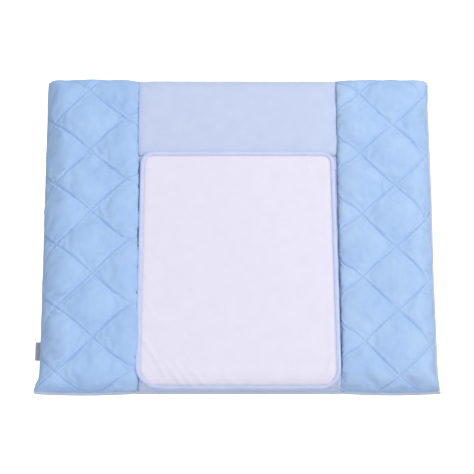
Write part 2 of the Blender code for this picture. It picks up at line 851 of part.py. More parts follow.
def build():
    clear_scene()
    materials = make_materials()
    build_centre(materials)
    left = add_pivot("left_wing_pivot", (-SEAM_X, 0, HINGE_Z))
    right = add_pivot("right_wing_pivot", (SEAM_X, 0, HINGE_Z))
    build_wing("left", left_section(), materials, left)
    build_wing("right", right_section(), materials, right)
    build_label(materials, left)
    build_zip_sides(materials)
    slider = add_pivot("zip_slider_pivot", (SLIDER_X, ZIP_Y, zip_levels()["tape"]))
    pull = add_pivot("zip_pull_pivot", (SLIDER_X, ZIP_Y, pull_axis_z()), slider)
    build_slider(materials, slider)
    build_pull(materials, pull)
    towel = add_pivot("towel_pivot", (0, 0, CENTRE_CROWN + TOWEL_LIFT))
    build_towel(materials, towel)
    build_snaps(materials, towel)


build()
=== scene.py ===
"""Looks of the changing pad: quilted velour sides, a plain centre, a bound towel and a zip below.

Surfaces are grids of points in numpy. A grid's rows run across the pad and its columns run from
front to rear, and both are counted in the cloth's own length, so patterns don't stretch where
the cloth turns down at an edge.
"""

import json

import bmesh
import bpy
import numpy as np
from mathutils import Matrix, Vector


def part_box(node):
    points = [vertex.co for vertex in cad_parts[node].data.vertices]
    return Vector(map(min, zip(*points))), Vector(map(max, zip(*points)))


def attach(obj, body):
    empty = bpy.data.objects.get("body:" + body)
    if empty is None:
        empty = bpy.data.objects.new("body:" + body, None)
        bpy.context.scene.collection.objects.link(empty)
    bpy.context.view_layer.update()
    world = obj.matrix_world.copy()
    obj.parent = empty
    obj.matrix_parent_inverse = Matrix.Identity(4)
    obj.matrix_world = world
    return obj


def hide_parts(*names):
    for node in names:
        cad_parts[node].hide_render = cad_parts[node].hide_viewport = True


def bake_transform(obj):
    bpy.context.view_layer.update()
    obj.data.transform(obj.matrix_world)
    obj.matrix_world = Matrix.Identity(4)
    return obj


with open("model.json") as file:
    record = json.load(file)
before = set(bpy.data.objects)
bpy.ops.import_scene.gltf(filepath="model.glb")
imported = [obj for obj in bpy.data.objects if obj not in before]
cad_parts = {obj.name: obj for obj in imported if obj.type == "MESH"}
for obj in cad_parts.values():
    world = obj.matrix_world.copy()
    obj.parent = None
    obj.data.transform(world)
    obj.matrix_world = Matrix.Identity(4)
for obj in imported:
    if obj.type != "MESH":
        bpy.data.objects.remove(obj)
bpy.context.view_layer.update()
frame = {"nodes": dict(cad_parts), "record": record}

# ---- sizes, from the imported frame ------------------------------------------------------

WING_LOW, WING_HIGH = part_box("right_quilted_panel")
HALF_WIDTH, HALF_DEPTH = WING_HIGH.x, WING_HIGH.y
SEAM_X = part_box("centre_front_panel")[1].x
RIM_Z = WING_LOW.z
WING_CROWN = WING_HIGH.z - 0.0040
CENTRE_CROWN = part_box("centre_front_panel")[1].z
CROSS_SEAM_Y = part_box("centre_rear_panel")[0].y
TOWEL_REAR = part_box("towel_face")[1].y
TOWEL_LINING = 0.0008
TOWEL_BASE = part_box("towel_backing")[1].z - TOWEL_LINING
ZIP_Y = (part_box("zip_front_tape")[1].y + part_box("zip_rear_tape")[0].y) / 2

MM = 0.001
VALLEY_Z = 0.0455
WING_WALL_TOP = 0.0400
WALL_FOOT = 0.0022
WING_EDGE = SEAM_X + 0.0003

# How far in from an edge each surface takes to turn flat, and the cloth's thicknesses
WING_RUN = 0.055
CENTRE_RUN = 0.045
WING_SHOULDER = {"left": 0.020, "right": 0.030}
CENTRE_SHOULDER = 0.060
UNDER_RUN = 0.012
UNDER_ROLL = 0.0044
COVER = 0.0012
STITCH_RADIUS = 0.00028
WALL = 0.0009
STRIP = 0.0008

# The slit for the zip in the underside, and the lift of the cloth beside it
ZIP_HALF_GAP = 0.0055
ZIP_LIFT = 0.0030
ZIP_LIFT_RUN = 0.016

# The outer sides' seam lines, as distances from the middle: rear half, front half, front ear
SIDE_LINE = {"left": (0.4195, 0.4188, 0.0115), "right": (0.4230, 0.4207, 0.0040)}
EAR_WIDTH = 0.028
# How far the velour's edge seam sits in from the outline: at the rear corner, elsewhere, at the ends
SEAM_SETBACK = {"left": (0.0010, 0.0014), "right": (0.0012, 0.0050)}
END_SETBACK = 0.0030
END_LINE = 0.3737
END_BULGE = 0.0034
REAR_CORNER = {"left": 0.008, "right": 0.005}

# Quilting: one crossing of the stitch lines, and the steps from it to the next two crossings
QUILT_NODE = {"left": (-0.3185, 0.0315), "right": (0.2647, 0.0236)}
QUILT_STEPS = {
    "left": ((0.0809, -0.0700), (-0.0759, -0.0780)),
    "right": ((0.0744, -0.0774), (-0.0744, -0.0713)),
}
GROOVE_DEPTH = {"left": 0.0023, "right": 0.0027}
PUFF = {"left": 0.0020, "right": 0.0021}
GATHER = {"left": 0.00125, "right": 0.00045}

# How far each side's velour bulges over the inner seam: at the rear, at the front
WING_OVERHANG = {"left": (0.0062, 0.0080), "right": (0.0040, 0.0040)}
# How far the inner seam is drawn towards the middle: at the rear, beside the towel, at the front
SEAM_SHIFT = {"left": (0.0018, 0.0050, 0.0076), "right": (0.0034, 0.0054, 0.0054)}
# Where a crease holds that bulge back: (place along the seam, width, share held back)
SEAM_NOTCHES = {
    "left": ((-0.013, 0.008, 0.30), (-0.310, 0.009, 0.35), (-0.160, 0.007, 0.15), (0.135, 0.007, 0.15)),
    "right": ((-0.050, 0.008, 0.15), (-0.200, 0.008, 0.20), (0.098, 0.008, 0.15), (-0.335, 0.008, 0.15)),
}


# ---- small tools -----------------------------------------------------------------------


RIPPLE_WAVES = ((1.0, 1.0), (0.57, 0.7), (1.83, 0.45))


def smooth(value):
    value = np.clip(value, 0, 1)
    return value * value * (3 - 2 * value)


def bump_at(distance, width):
    """A bell curve, 1 at distance 0."""
    return np.exp(-((distance / width) ** 2))


def ripple(position, seed):
    """A wavy line of several frequencies that doesn't repeat, between about -1 and 1."""
    total = 0
    for k, (rate, share) in enumerate(RIPPLE_WAVES):
        total = total + share * np.sin(2 * np.pi * rate * position + 1.7 * k + 2.39 * seed)
    return total / sum(share for _, share in RIPPLE_WAVES)


def cell_value(i, j, seed):
    """A repeatable number from 0 to 1 for each whole-numbered cell."""
    mixed = np.sin(i * 12.9898 + j * 78.233 + seed * 37.719) * 43758.5453
    return mixed - np.floor(mixed)


def noise2(x, y, seed=0):
    """Smooth value noise between -1 and 1, one cell per unit."""
    i, j = np.floor(x), np.floor(y)
    u, v = smooth(x - i), smooth(y - j)
    low = cell_value(i, j, seed) * (1 - u) + cell_value(i + 1, j, seed) * u
    high = cell_value(i, j + 1, seed) * (1 - u) + cell_value(i + 1, j + 1, seed) * u
    return 2 * (low * (1 - v) + high * v) - 1


def normals_of(points):
    """Unit normals of a grid of points."""
    across = np.gradient(points, axis=0)
    along = np.gradient(points, axis=1)
    normal = np.cross(across, along)
    return normal / np.maximum(np.linalg.norm(normal, axis=2, keepdims=True), 1e-12)


def doubled(grid):
    """The same grid with a new point between every two, on a curve through its neighbours."""
    for axis in (0, 1):
        g = np.moveaxis(grid, axis, 0)
        before = np.concatenate([2 * g[:1] - g[1:2], g[:-2]])
        after = np.concatenate([g[2:], 2 * g[-1:] - g[-2:-1]])
        middle = (9 * (g[:-1] + g[1:]) - before - after) / 16
        out = np.empty((2 * len(g) - 1, *g.shape[1:]))
        out[0::2], out[1::2] = g, middle
        grid = np.moveaxis(out, 0, axis)
    return grid


def mesh_object(name, vertices, faces):
    """An object from an array of points and one or more arrays of faces with 3 or 4 corners."""
    mesh = bpy.data.meshes.new(name)
    groups = [np.asarray(group, np.int32) for group in faces if len(group)]
    counts = np.concatenate([np.full(len(g), g.shape[1], np.int32) for g in groups])
    corners = np.concatenate([g.ravel() for g in groups])
    starts = np.concatenate([[0], np.cumsum(counts)[:-1]]).astype(np.int32)
    mesh.vertices.add(len(vertices))
    mesh.vertices.foreach_set("co", np.asarray(vertices, np.float32).ravel())
    mesh.loops.add(len(corners))
    mesh.loops.foreach_set("vertex_index", corners)
    mesh.polygons.add(len(counts))
    mesh.polygons.foreach_set("loop_start", starts)
    mesh.polygons.foreach_set("loop_total", counts)
    mesh.update(calc_edges=True)
    mesh.validate()
    mesh.shade_smooth()
    obj = bpy.data.objects.new(name, mesh)
    bpy.context.scene.collection.objects.link(obj)
    return obj


def grid_faces(rows, columns, start=0, flip=False):
    """Quads of a grid of points stored row by row."""
    index = start + np.arange(rows * columns).reshape(rows, columns)
    quads = np.stack([index[:-1, :-1], index[1:, :-1], index[1:, 1:], index[:-1, 1:]], axis=-1)
    quads = quads.reshape(-1, 4)
    return quads[:, ::-1] if flip else quads


def border_of(rows, columns, start=0):
    index = start + np.arange(rows * columns).reshape(rows, columns)
    return np.concatenate([index[:, 0], index[-1, 1:], index[-2::-1, -1], index[0, -2:0:-1]])


def sheet(name, outer, inner, flip=False):
    """A closed sheet between two grids. flip is for one whose outer face looks down."""
    rows, columns = outer.shape[:2]
    count = rows * columns
    first, second = border_of(rows, columns), border_of(rows, columns, count)
    rim = np.stack([first, second, np.roll(second, -1), np.roll(first, -1)], axis=-1)
    faces = np.concatenate([grid_faces(rows, columns), grid_faces(rows, columns, count, True), rim])
    if flip:
        faces = faces[:, ::-1]
    return mesh_object(name, np.concatenate([outer.reshape(-1, 3), inner.reshape(-1, 3)]), [faces])


def add_values(obj, name, values):
    """A number on each point, for the materials to read. Both faces of a sheet take the same."""
    flat = np.asarray(values, np.float32).ravel()
    repeats = len(obj.data.vertices) // len(flat)
    attribute = obj.data.attributes.new(name, "FLOAT", "POINT")
    attribute.data.foreach_set("value", np.tile(flat, repeats))


def add_cloth_map(obj, across, along):
    """The cloth's own coordinates in metres, as a vector on each point."""
    flat = np.stack([across, along, np.zeros_like(across)], axis=-1).reshape(-1, 3)
    repeats = len(obj.data.vertices) // len(flat)
    attribute = obj.data.attributes.new("cloth", "FLOAT_VECTOR", "POINT")
    attribute.data.foreach_set("vector", np.tile(flat, (repeats, 1)).astype(np.float32).ravel())


def paint(obj, material):
    obj.data.materials.clear()
    obj.data.materials.append(material)


def dress(obj, slot, body, node=None, cloth=None, material=None):
    """Finishes a piece: its cloth map, its material, the CAD piece it stands for and its body."""
    if cloth is not None:
        add_cloth_map(obj, *cloth)
    paint(obj, MATERIALS[material or slot])
    if node:
        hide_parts(node)
    if body:
        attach(obj, body)


# ---- node materials --------------------------------------------------------------------


def linear(colour):
    """sRGB channels from 0 to 255 as the linear colour a shader takes."""
    values = np.array(colour) / 255
    dark = values <= 0.04045
    return (*np.where(dark, values / 12.92, ((values + 0.055) / 1.055) ** 2.4), 1.0)


class Nodes:
    """Builds one material's node tree, with the Principled shader at its end."""

    def __init__(self, name):
        self.material = bpy.data.materials.new(name)
        self.material.use_nodes = True
        self.tree = self.material.node_tree
        self.shader = self.tree.nodes["Principled BSDF"]

    def add(self, kind, inputs=None, **settings):
        node = self.tree.nodes.new(kind)
        for key, value in settings.items():
            setattr(node, key, value)
        for key, value in (inputs or {}).items():
            self.set(node, key, value)
        return node

    def set(self, node, key, value):
        if isinstance(value, bpy.types.NodeSocket):
            self.tree.links.new(value, node.inputs[key])
        else:
            node.inputs[key].default_value = value

    def attribute(self, name, output="Fac"):
        return self.add("ShaderNodeAttribute", attribute_name=name).outputs[output]

    def stretched(self, vector, scale):
        return self.add("ShaderNodeMapping", {"Vector": vector, "Scale": scale}).outputs["Vector"]

    def noise(self, vector, scale, detail=2.0, roughness=0.5):
        inputs = {"Vector": vector, "Scale": scale, "Detail": detail, "Roughness": roughness}
        return self.add("ShaderNodeTexNoise", inputs).outputs["Fac"]

    def wave(self, vector, scale, axis, distortion=0.0):
        inputs = {"Vector": vector, "Scale": scale, "Distortion": distortion, "Detail": 1.0}
        return self.add("ShaderNodeTexWave", inputs, bands_direction=axis).outputs["Fac"]

    def math(self, operation, a, b=0.0):
        node = self.add("ShaderNodeMath", operation=operation)
        self.set(node, 0, a)
        self.set(node, 1, b)
        return node.outputs[0]

    def span(self, value, low, high, to_low=0.0, to_high=1.0):
        inputs = {"Value": value, "From Min": low, "From Max": high, "To Min": to_low, "To Max": to_high}
        return self.add("ShaderNodeMapRange", inputs).outputs["Result"]

    def mix(self, share, first, second):
        node = self.add("ShaderNodeMix", data_type="RGBA")
        self.set(node, 0, share)
        self.set(node, 6, first)
        self.set(node, 7, second)
        return node.outputs[2]

    def bump(self, height, distance, strength=1.0, normal=None):
        inputs = {"Height": height, "Distance": distance, "Strength": strength}
        if normal is not None:
            inputs["Normal"] = normal
        return self.add("ShaderNodeBump", inputs).outputs["Normal"]

    def finish(self, colour, roughness, normal=None, **more):
        self.set(self.shader, "Base Color", colour)
        self.set(self.shader, "Roughness", roughness)
        if normal is not None:
            self.set(self.shader, "Normal", normal)
        for key, value in more.items():
            self.set(self.shader, key.replace("_", " "), value)
        return self.material


def velour_material(name, colour, deep, pale):
    """Short pile: a sheen at grazing angles, brushed patches, and painted shade that darkens the stitched
    grooves.
    """
    n = Nodes(name)
    cloth = n.attribute("cloth", "Vector")
    groove_shade = n.attribute("groove_shade")
    patches = n.noise(cloth, 14.0, 3.0, 0.5)
    streaks = n.noise(n.stretched(cloth, (1.0, 0.35, 1.0)), 110.0, 3.0, 0.55)
    brushed = n.math("ADD", n.math("MULTIPLY", patches, 0.65), n.math("MULTIPLY", streaks, 0.35))
    base = n.mix(n.span(brushed, 0.30, 0.52), linear(deep), linear(colour))
    base = n.mix(n.span(brushed, 0.50, 0.70), base, linear(pale))
    # painted shade: the colour darkens towards the deep tone along the stitched grooves
    base = n.mix(n.math("MULTIPLY", groove_shade, 0.30), base, linear(deep))
    pile = n.noise(cloth, 1500.0, 2.0, 0.6)
    nap = n.noise(cloth, 420.0, 2.0, 0.5)
    normal = n.bump(nap, 0.0006, 0.5, n.bump(pile, 0.0003, 0.6))
    return n.finish(
        base, n.span(streaks, 0.3, 0.7, 0.80, 0.95), normal,
        Sheen_Weight=0.30, Sheen_Roughness=0.45, Sheen_Tint=linear(pale), Specular_IOR_Level=0.15,
    )


def woven_material(name, colour, shade, threads=900.0, roughness=0.82, sheen=0.12):
    """Plain cloth: fine crossing threads, slight unevenness in colour, and a darker tone between the
    threads.
    """
    n = Nodes(name)
    cloth = n.attribute("cloth", "Vector")
    weft = n.wave(cloth, threads / 6.28, "X", 0.3)
    warp = n.wave(cloth, threads / 6.28, "Y", 0.3)
    weave = n.math("MULTIPLY", weft, warp)
    uneven = n.noise(cloth, 34.0, 3.0, 0.55)
    slub = n.noise(cloth, 260.0, 2.0, 0.5)
    base = n.mix(n.span(uneven, 0.3, 0.7), linear(shade), linear(colour))
    base = n.mix(n.math("MULTIPLY", n.math("SUBTRACT", 1.0, weave), 0.10), base, linear(shade))
    normal = n.bump(slub, 0.0004, 0.3, n.bump(weave, 0.00025, 0.5))
    return n.finish(
        base, n.span(uneven, 0.3, 0.7, roughness - 0.05, roughness + 0.07), normal,
        Sheen_Weight=sheen, Sheen_Roughness=0.5, Specular_IOR_Level=0.2,
    )


def terry_material():
    """Fine towelling: close loops with a soft uneven surface, and painted shade in the dip beside the
    binding.
    """
    n = Nodes("terry")
    cloth = n.attribute("cloth", "Vector")
    inputs = {"Vector": cloth, "Scale": 620.0, "Randomness": 0.8}
    loops = n.add("ShaderNodeTexVoronoi", inputs).outputs["Distance"]
    uneven = n.noise(cloth, 30.0, 3.0, 0.55)
    fuzz = n.noise(cloth, 1300.0, 2.0, 0.6)
    base = n.mix(n.span(uneven, 0.3, 0.7), linear((223, 220, 237)), linear((227, 224, 239)))
    base = n.mix(n.span(loops, 0.2, 0.8, 0.0, 0.08), base, linear((208, 206, 228)))
    # painted shade: darker where the terry dips beside the binding
    base = n.mix(n.math("MULTIPLY", n.attribute("groove_shade"), 0.45), base, linear((176, 180, 212)))
    normal = n.bump(fuzz, 0.0002, 0.5, n.bump(loops, 0.0004, 0.5))
    return n.finish(base, 0.92, normal, Sheen_Weight=0.2, Sheen_Roughness=0.6, Specular_IOR_Level=0.12)


def fibre_material(name, colour, scale):
    """Loose fibres in every direction, for wadding, fill and nonwoven cloth."""
    n = Nodes(name)
    place = n.add("ShaderNodeTexCoord").outputs["Object"]
    strands = n.noise(place, scale, 6.0, 0.75)
    clumps = n.noise(place, scale / 12, 2.0, 0.5)
    shade = tuple(0.86 * channel for channel in colour)
    base = n.mix(n.span(clumps, 0.3, 0.7), linear(shade), linear(colour))
    normal = n.bump(strands, 0.0008, 0.6)
    return n.finish(base, 0.95, normal, Sheen_Weight=0.2, Specular_IOR_Level=0.1)


def plastic_material(name, colour, roughness):
    n = Nodes(name)
    place = n.add("ShaderNodeTexCoord").outputs["Object"]
    grain = n.noise(place, 1800.0, 2.0, 0.5)
    wear = n.noise(place, 160.0, 2.0, 0.5)
    pale = tuple(min(255, channel + 8) for channel in colour)
    base = n.mix(n.span(wear, 0.35, 0.65), linear(colour), linear(pale))
    rough = n.span(wear, 0.3, 0.7, roughness - 0.06, roughness + 0.08)
    return n.finish(base, rough, n.bump(grain, 0.00005, 0.4), Specular_IOR_Level=0.45)


def metal_material():
    """Cast and tumbled zip metal with fine scratches."""
    n = Nodes("zip_metal")
    place = n.add("ShaderNodeTexCoord").outputs["Object"]
    scratches = n.noise(n.stretched(place, (200.0, 2600.0, 2600.0)), 1.0, 3.0, 0.6)
    wear = n.noise(place, 500.0, 3.0, 0.6)
    base = n.mix(n.span(wear, 0.35, 0.7), linear((188, 190, 196)), linear((214, 216, 220)))
    rough = n.span(scratches, 0.3, 0.7, 0.22, 0.38)
    return n.finish(base, rough, n.bump(scratches, 0.00004, 0.5), Metallic=1.0)


def label_material():
    """Grey ribbon with fine ribs across it."""
    n = Nodes("label_tape")
    cloth = n.attribute("cloth", "Vector")
    ribs = n.wave(cloth, 280.0, "Y", 0.2)
    uneven = n.noise(cloth, 120.0, 3.0, 0.6)
    base = n.mix(n.span(uneven, 0.3, 0.7), linear((146, 146, 163)), linear((166, 166, 182)))
    base = n.mix(n.math("MULTIPLY", ribs, 0.2), base, linear((184, 184, 198)))
    return n.finish(base, 0.6, n.bump(ribs, 0.0003, 0.5), Sheen_Weight=0.15)


def floor_material():
    """A pale sweep that looks plain white, and isn't there when the camera is below it."""
    n = Nodes("studio_floor")
    place = n.add("ShaderNodeTexCoord").outputs["Object"]
    tone = n.noise(place, 3.0, 2.0, 0.5)
    base = n.mix(n.span(tone, 0.3, 0.7), linear((196, 196, 198)), linear((200, 200, 202)))
    seen = n.add("ShaderNodeLightPath").outputs["Is Camera Ray"]
    glow = n.math("MULTIPLY", seen, 1.2)
    from_camera = n.add(
        "ShaderNodeVectorTransform", {"Vector": n.add("ShaderNodeTexCoord").outputs["Camera"]},
        vector_type="VECTOR", convert_from="CAMERA", convert_to="WORLD",
    )
    drop = n.add("ShaderNodeSeparateXYZ", {"Vector": from_camera.outputs["Vector"]}).outputs["Z"]
    return n.finish(
        base, 0.9, Specular_IOR_Level=0.0, Emission_Color=(1, 1, 1, 1), Emission_Strength=glow,
        Alpha=n.math("LESS_THAN", drop, 0.0),
    )


MATERIALS = {
    "velour_left": velour_material("velour_left", (166, 196, 236), (157, 188, 232), (173, 202, 240)),
    "velour_right": velour_material("velour_right", (168, 196, 233), (159, 189, 230), (176, 202, 236)),
    "plain_fabric": woven_material("plain_fabric", (197, 208, 233), (191, 203, 230)),
    "binding_tape": woven_material("binding_tape", (204, 213, 242), (192, 203, 237), 1500.0, 0.7, 0.2),
    "thread": woven_material("thread", (176, 198, 236), (160, 184, 226), 3000.0, 0.6, 0.3),
    "white_thread": woven_material("white_thread", (222, 228, 246), (206, 214, 240), 3000.0, 0.6, 0.3),
    "terry": terry_material(),
    "backing_film": woven_material("backing_film", (236, 238, 243), (226, 229, 238), 1200.0, 0.5, 0.0),
    "wadding": fibre_material("wadding", (244, 244, 242), 900.0),
    "case_cloth": fibre_material("case_cloth", (238, 238, 236), 1500.0),
    "fibre_fill": fibre_material("fibre_fill", (248, 248, 246), 500.0),
    "zip_tape": woven_material("zip_tape", (196, 206, 232), (180, 192, 222), 1400.0, 0.75, 0.1),
    "zip_coil": plastic_material("zip_coil", (208, 215, 234), 0.38),
    "zip_metal": metal_material(),
    "snap_plastic": plastic_material("snap_plastic", (230, 233, 240), 0.34),
    "label_tape": label_material(),
}


# ---- the pad's sections as surfaces ----------------------------------------------------


def arc_length(run, height):
    return np.pi / 2 * np.sqrt((run * run + height * height) / 2)


def turn_down(distance, run, height):
    """Cloth length from an edge to (distance in plan, share of the height reached)."""
    length = arc_length(run, height)
    turn = np.clip(distance / length, 0, 1) * np.pi / 2
    return run * (1 - np.cos(turn)) + np.maximum(distance - length, 0), np.sin(turn)


class Pillow:
    """One section's upper surface, in the cloth's own lengths."""

    def __init__(self, left, right, crown, run, shoulder, seams, side=None):
        self.crown = crown
        self.side = side
        self.sides = {
            "left": (left, 1, "left" in seams, shoulder if "left" in seams else run),
            "right": (right, -1, "right" in seams, shoulder if "right" in seams else run),
            "front": (-HALF_DEPTH, 1, False, run),
            "rear": (HALF_DEPTH, -1, False, run),
        }

    def sewn(self, side):
        """Whether a side meets its neighbour at an inner seam."""
        return self.sides[side][2]

    def climb(self, side):
        """The height that the surface gains on its way in from a side."""
        return self.crown - (VALLEY_Z if self.sewn(side) else RIM_Z)

    def limit(self, side):
        """Where the cloth ends at a side, in cloth lengths that match the plan on the flat."""
        place, inward, _, run = self.sides[side]
        return place + inward * (run - arc_length(run, self.climb(side)))

    def lines(self, spacing, low=None, high=None):
        """Evenly spaced cloth coordinates across and along, of all the section or from low to high."""
        low = self.limit("front") if low is None else low
        high = self.limit("rear") if high is None else high
        lines = []
        for start, stop in ((self.limit("left"), self.limit("right")), (low, high)):
            lines.append(np.linspace(start, stop, int(round((stop - start) / spacing)) + 1))
        return np.meshgrid(*lines, indexing="ij")

    def place(self, across, along):
        """The points of the upper surface."""
        cloth = (across, along)
        plan, shares = [None, None], {}
        for axis, names in ((1, ("front", "rear")), (0, ("left", "right"))):
            found = []
            for side in names:
                edge, inward, sewn, run = self.sides[side]
                distance = (cloth[axis] - self.limit(side)) * inward
                step, shares[side] = turn_down(distance, run, self.climb(side))
                if self.side and sewn:
                    ends = np.minimum(1, 2 * np.minimum(shares["front"], shares["rear"]))
                    reach = overhang(self.side, along) * ends
                    step = step - reach * np.sin(np.pi * shares[side] ** 3)
                found.append(edge + inward * step)
            middle = (self.limit(names[0]) + self.limit(names[1])) / 2
            plan[axis] = np.where(cloth[axis] < middle, found[0], found[1])
        height = np.full_like(across, self.crown)
        for side, share in shares.items():
            if self.sewn(side):
                height = height - (self.crown - VALLEY_Z) * (1 - share)
        free = sum((1 - share) ** 4 for side, share in shares.items() if not self.sewn(side))
        height = RIM_Z + (height - RIM_Z) * np.clip(1 - free**0.25, 0, 1)
        x, y = outline_warp(*plan)
        inset_x, inset_y = seam_inset(x, y)
        x = x - inset_x - seam_shift(x, y) * smooth(1 - np.abs(np.abs(x) - SEAM_X) / 0.045)
        return np.stack([x, y - inset_y, height], axis=-1)

    def normals(self, across, along):
        """Unit normals of the upper surface."""
        step = 0.0004
        over = self.place(across + step, along) - self.place(across - step, along)
        ahead = self.place(across, along + step) - self.place(across, along - step)
        normal = np.cross(over, ahead)
        return normal / np.maximum(np.linalg.norm(normal, axis=-1, keepdims=True), 1e-12)


def side_line(side, y):
    """How far a side's edge seam is from the pad's middle line."""
    rear, front, ear = SIDE_LINE[side]
    share = smooth((y + 0.10) / 0.20)
    flare = bump_at(y + HALF_DEPTH + 0.003, EAR_WIDTH)
    return rear * share + front * (1 - share) + ear * flare


def side_setback(side, y):
    """How far the velour's edge seam sits in from a side's outline."""
    corner, elsewhere = SEAM_SETBACK[side]
    return corner + (elsewhere - corner) * smooth((0.345 - y) / 0.07)


def seam_inset(x, y):
    """How far the edge seam sits in from the outline, across and along."""
    past_x = np.clip((np.abs(x) - SEAM_X) / (HALF_WIDTH - SEAM_X), 0, 1)
    past_y = np.clip((np.abs(y) - HALF_DEPTH + WING_RUN) / WING_RUN, 0, 1.1)
    setback = np.where(x < 0, side_setback("left", y), side_setback("right", y))
    return np.sign(x) * setback * past_x**2, np.sign(y) * END_SETBACK * past_y**2


def seam_shift(x, y):
    """How far the inner seam nearest to x is drawn towards the middle, signed like x."""
    shifts = []
    for side in ("left", "right"):
        rear, beside, front = SEAM_SHIFT[side]
        shift = front + (beside - front) * smooth((y + 0.30) / 0.30)
        shifts.append(shift + (rear - shift) * smooth((y - 0.13) / 0.09))
    return np.sign(x) * np.where(x < 0, *shifts)


def overhang(side, along):
    """How far a side's velour bulges over its inner seam, with creases that hold it back."""
    rear, front = WING_OVERHANG[side]
    reach = front + (rear - front) * smooth((along + 0.30) / 0.55)
    for place, width, share in SEAM_NOTCHES[side]:
        reach = reach * (1 - share * bump_at(along - place, width))
    return reach * (1 + 0.07 * ripple(along / 0.09, 3 if side == "left" else 7))


def outline_warp(x, y):
    """The plan after filling: uneven sides, bulging ends and rounded rear corners."""
    past = np.clip((np.abs(x) - SEAM_X) / (HALF_WIDTH - SEAM_X), 0, None)
    edge = np.where(x < 0, side_line("left", y), side_line("right", y))
    x = x - np.sign(x) * (HALF_WIDTH - edge) * past**2
    bulge = END_BULGE * np.sin(np.pi * np.clip(past, 0, 1)) + (END_LINE - HALF_DEPTH)
    y = y + bulge * (y / HALF_DEPTH) ** 3
    for side, sign in (("left", -1), ("right", 1)):
        radius = REAR_CORNER[side]
        u = np.clip((sign * x - (side_line(side, y) - radius)) / radius, 0, 1)
        v = np.clip((y - (HALF_DEPTH - radius)) / radius, 0, 1)
        x = x - sign * radius * (u - u * np.sqrt(1 - v * v / 2))
        y = y - radius * (v - v * np.sqrt(1 - u * u / 2))
    return x, y


LEFT_WING = Pillow(
    -HALF_WIDTH, -WING_EDGE, WING_CROWN, WING_RUN, WING_SHOULDER["left"], ("right",), "left"
)
RIGHT_WING = Pillow(
    WING_EDGE, HALF_WIDTH, WING_CROWN, WING_RUN, WING_SHOULDER["right"], ("left",), "right"
)
CENTRE = Pillow(-SEAM_X, SEAM_X, CENTRE_CROWN, CENTRE_RUN, CENTRE_SHOULDER, ("left", "right"))


# ---- quilted sides ---------------------------------------------------------------------


class Quilting:
    """The stitch lines of one side. They are where u or v is a whole number."""

    def __init__(self, side):
        self.side = side
        self.node = np.array(QUILT_NODE[side])
        self.steps = np.array(QUILT_STEPS[side]).T
        self.back = np.linalg.inv(self.steps)
        self.lengths = np.linalg.norm(self.steps, axis=0)
        self.gaps = abs(np.linalg.det(self.steps)) / self.lengths[::-1]

    def bow(self, u, v):
        """How far the lines wander off straight, as steps in u and v."""
        seed = 2 if self.side == "left" else 6
        du = 0.013 * np.sin(np.pi * v) * np.cos(np.pi * u) + 0.014 * noise2(u * 1.3, v * 1.3, seed)
        dv = 0.013 * np.sin(np.pi * u) * np.cos(np.pi * v) + 0.014 * noise2(u * 1.3, v * 1.3, seed + 1)
        return du, dv

    def to_cloth(self, u, v):
        du, dv = self.bow(u, v)
        place = self.steps @ np.stack([(u + du).ravel(), (v + dv).ravel()]) + self.node[:, None]
        return place[0].reshape(u.shape), place[1].reshape(u.shape)

    def from_cloth(self, across, along):
        offset = np.stack([(across - self.node[0]).ravel(), (along - self.node[1]).ravel()])
        straight = (self.back @ offset).reshape(2, *across.shape)
        u, v = straight
        for _ in range(4):
            du, dv = self.bow(u, v)
            u, v = straight[0] - du, straight[1] - dv
        return u, v

    def distances(self, u, v):
        """Metres to the nearest line of each direction."""
        return np.abs(u - np.round(u)) * self.gaps[0], np.abs(v - np.round(v)) * self.gaps[1]


def gathers(quilt, u, v):
    """Small folds that run out from each stitch line at right angles, most near the crossings."""
    seed = 1 if quilt.side == "left" else 4
    to_u, to_v = quilt.distances(u, v)
    total = 0
    for near, other, line, along, length in (
        (to_u, to_v, u, v, quilt.lengths[1]),
        (to_v, to_u, v, u, quilt.lengths[0]),
    ):
        row = np.round(line)
        place = along * length
        strength = 0.35 + 0.65 * (0.5 + 0.5 * noise2(place / 0.03, row * 3.1, seed))
        strength = strength + 0.9 * bump_at(other - 0.008, 0.010)
        wander = 0.35 * noise2(place / 0.02, row, seed + 5)
        wave = ripple(place / 0.0125 + wander, row * 1.7 + seed)
        total = total + strength * wave * np.exp(-near / 0.0085) * smooth(near / 0.0012)
    return total


def sewn_edges(pillow, across, along, width, side_width=None, rear_width=None):
    """1 on the section's sewn edges, falling to 0 at the given cloth distances."""
    front = (along - pillow.limit("front")) / width
    rear = (pillow.limit("rear") - along) / (rear_width or width)
    left = (across - pillow.limit("left")) / (side_width or width)
    right = (pillow.limit("right") - across) / (side_width or width)
    return 1 - smooth(np.minimum.reduce([front, rear, left, right]))


def puffed(quilt, pillow, across, along):
    """The quilting's height over the plain section, in metres."""
    u, v = quilt.from_cloth(across, along)
    to_u, to_v = quilt.distances(u, v)
    swell = 0.8 + 0.4 * cell_value(np.floor(u), np.floor(v), 3 if quilt.side == "left" else 8)
    rise = (1 - np.exp(-to_u / 0.011)) * (1 - np.exp(-to_v / 0.011))
    height = (PUFF[quilt.side] * swell + GROOVE_DEPTH[quilt.side]) * rise - GROOVE_DEPTH[quilt.side]
    edge = sewn_edges(pillow, across, along, 0.014, 0.011, 0.046)
    slack = 0.0008 * noise2(across / 0.045, along / 0.045, 14) * rise
    return (height + slack) * (1 - edge) - 0.0004 * edge


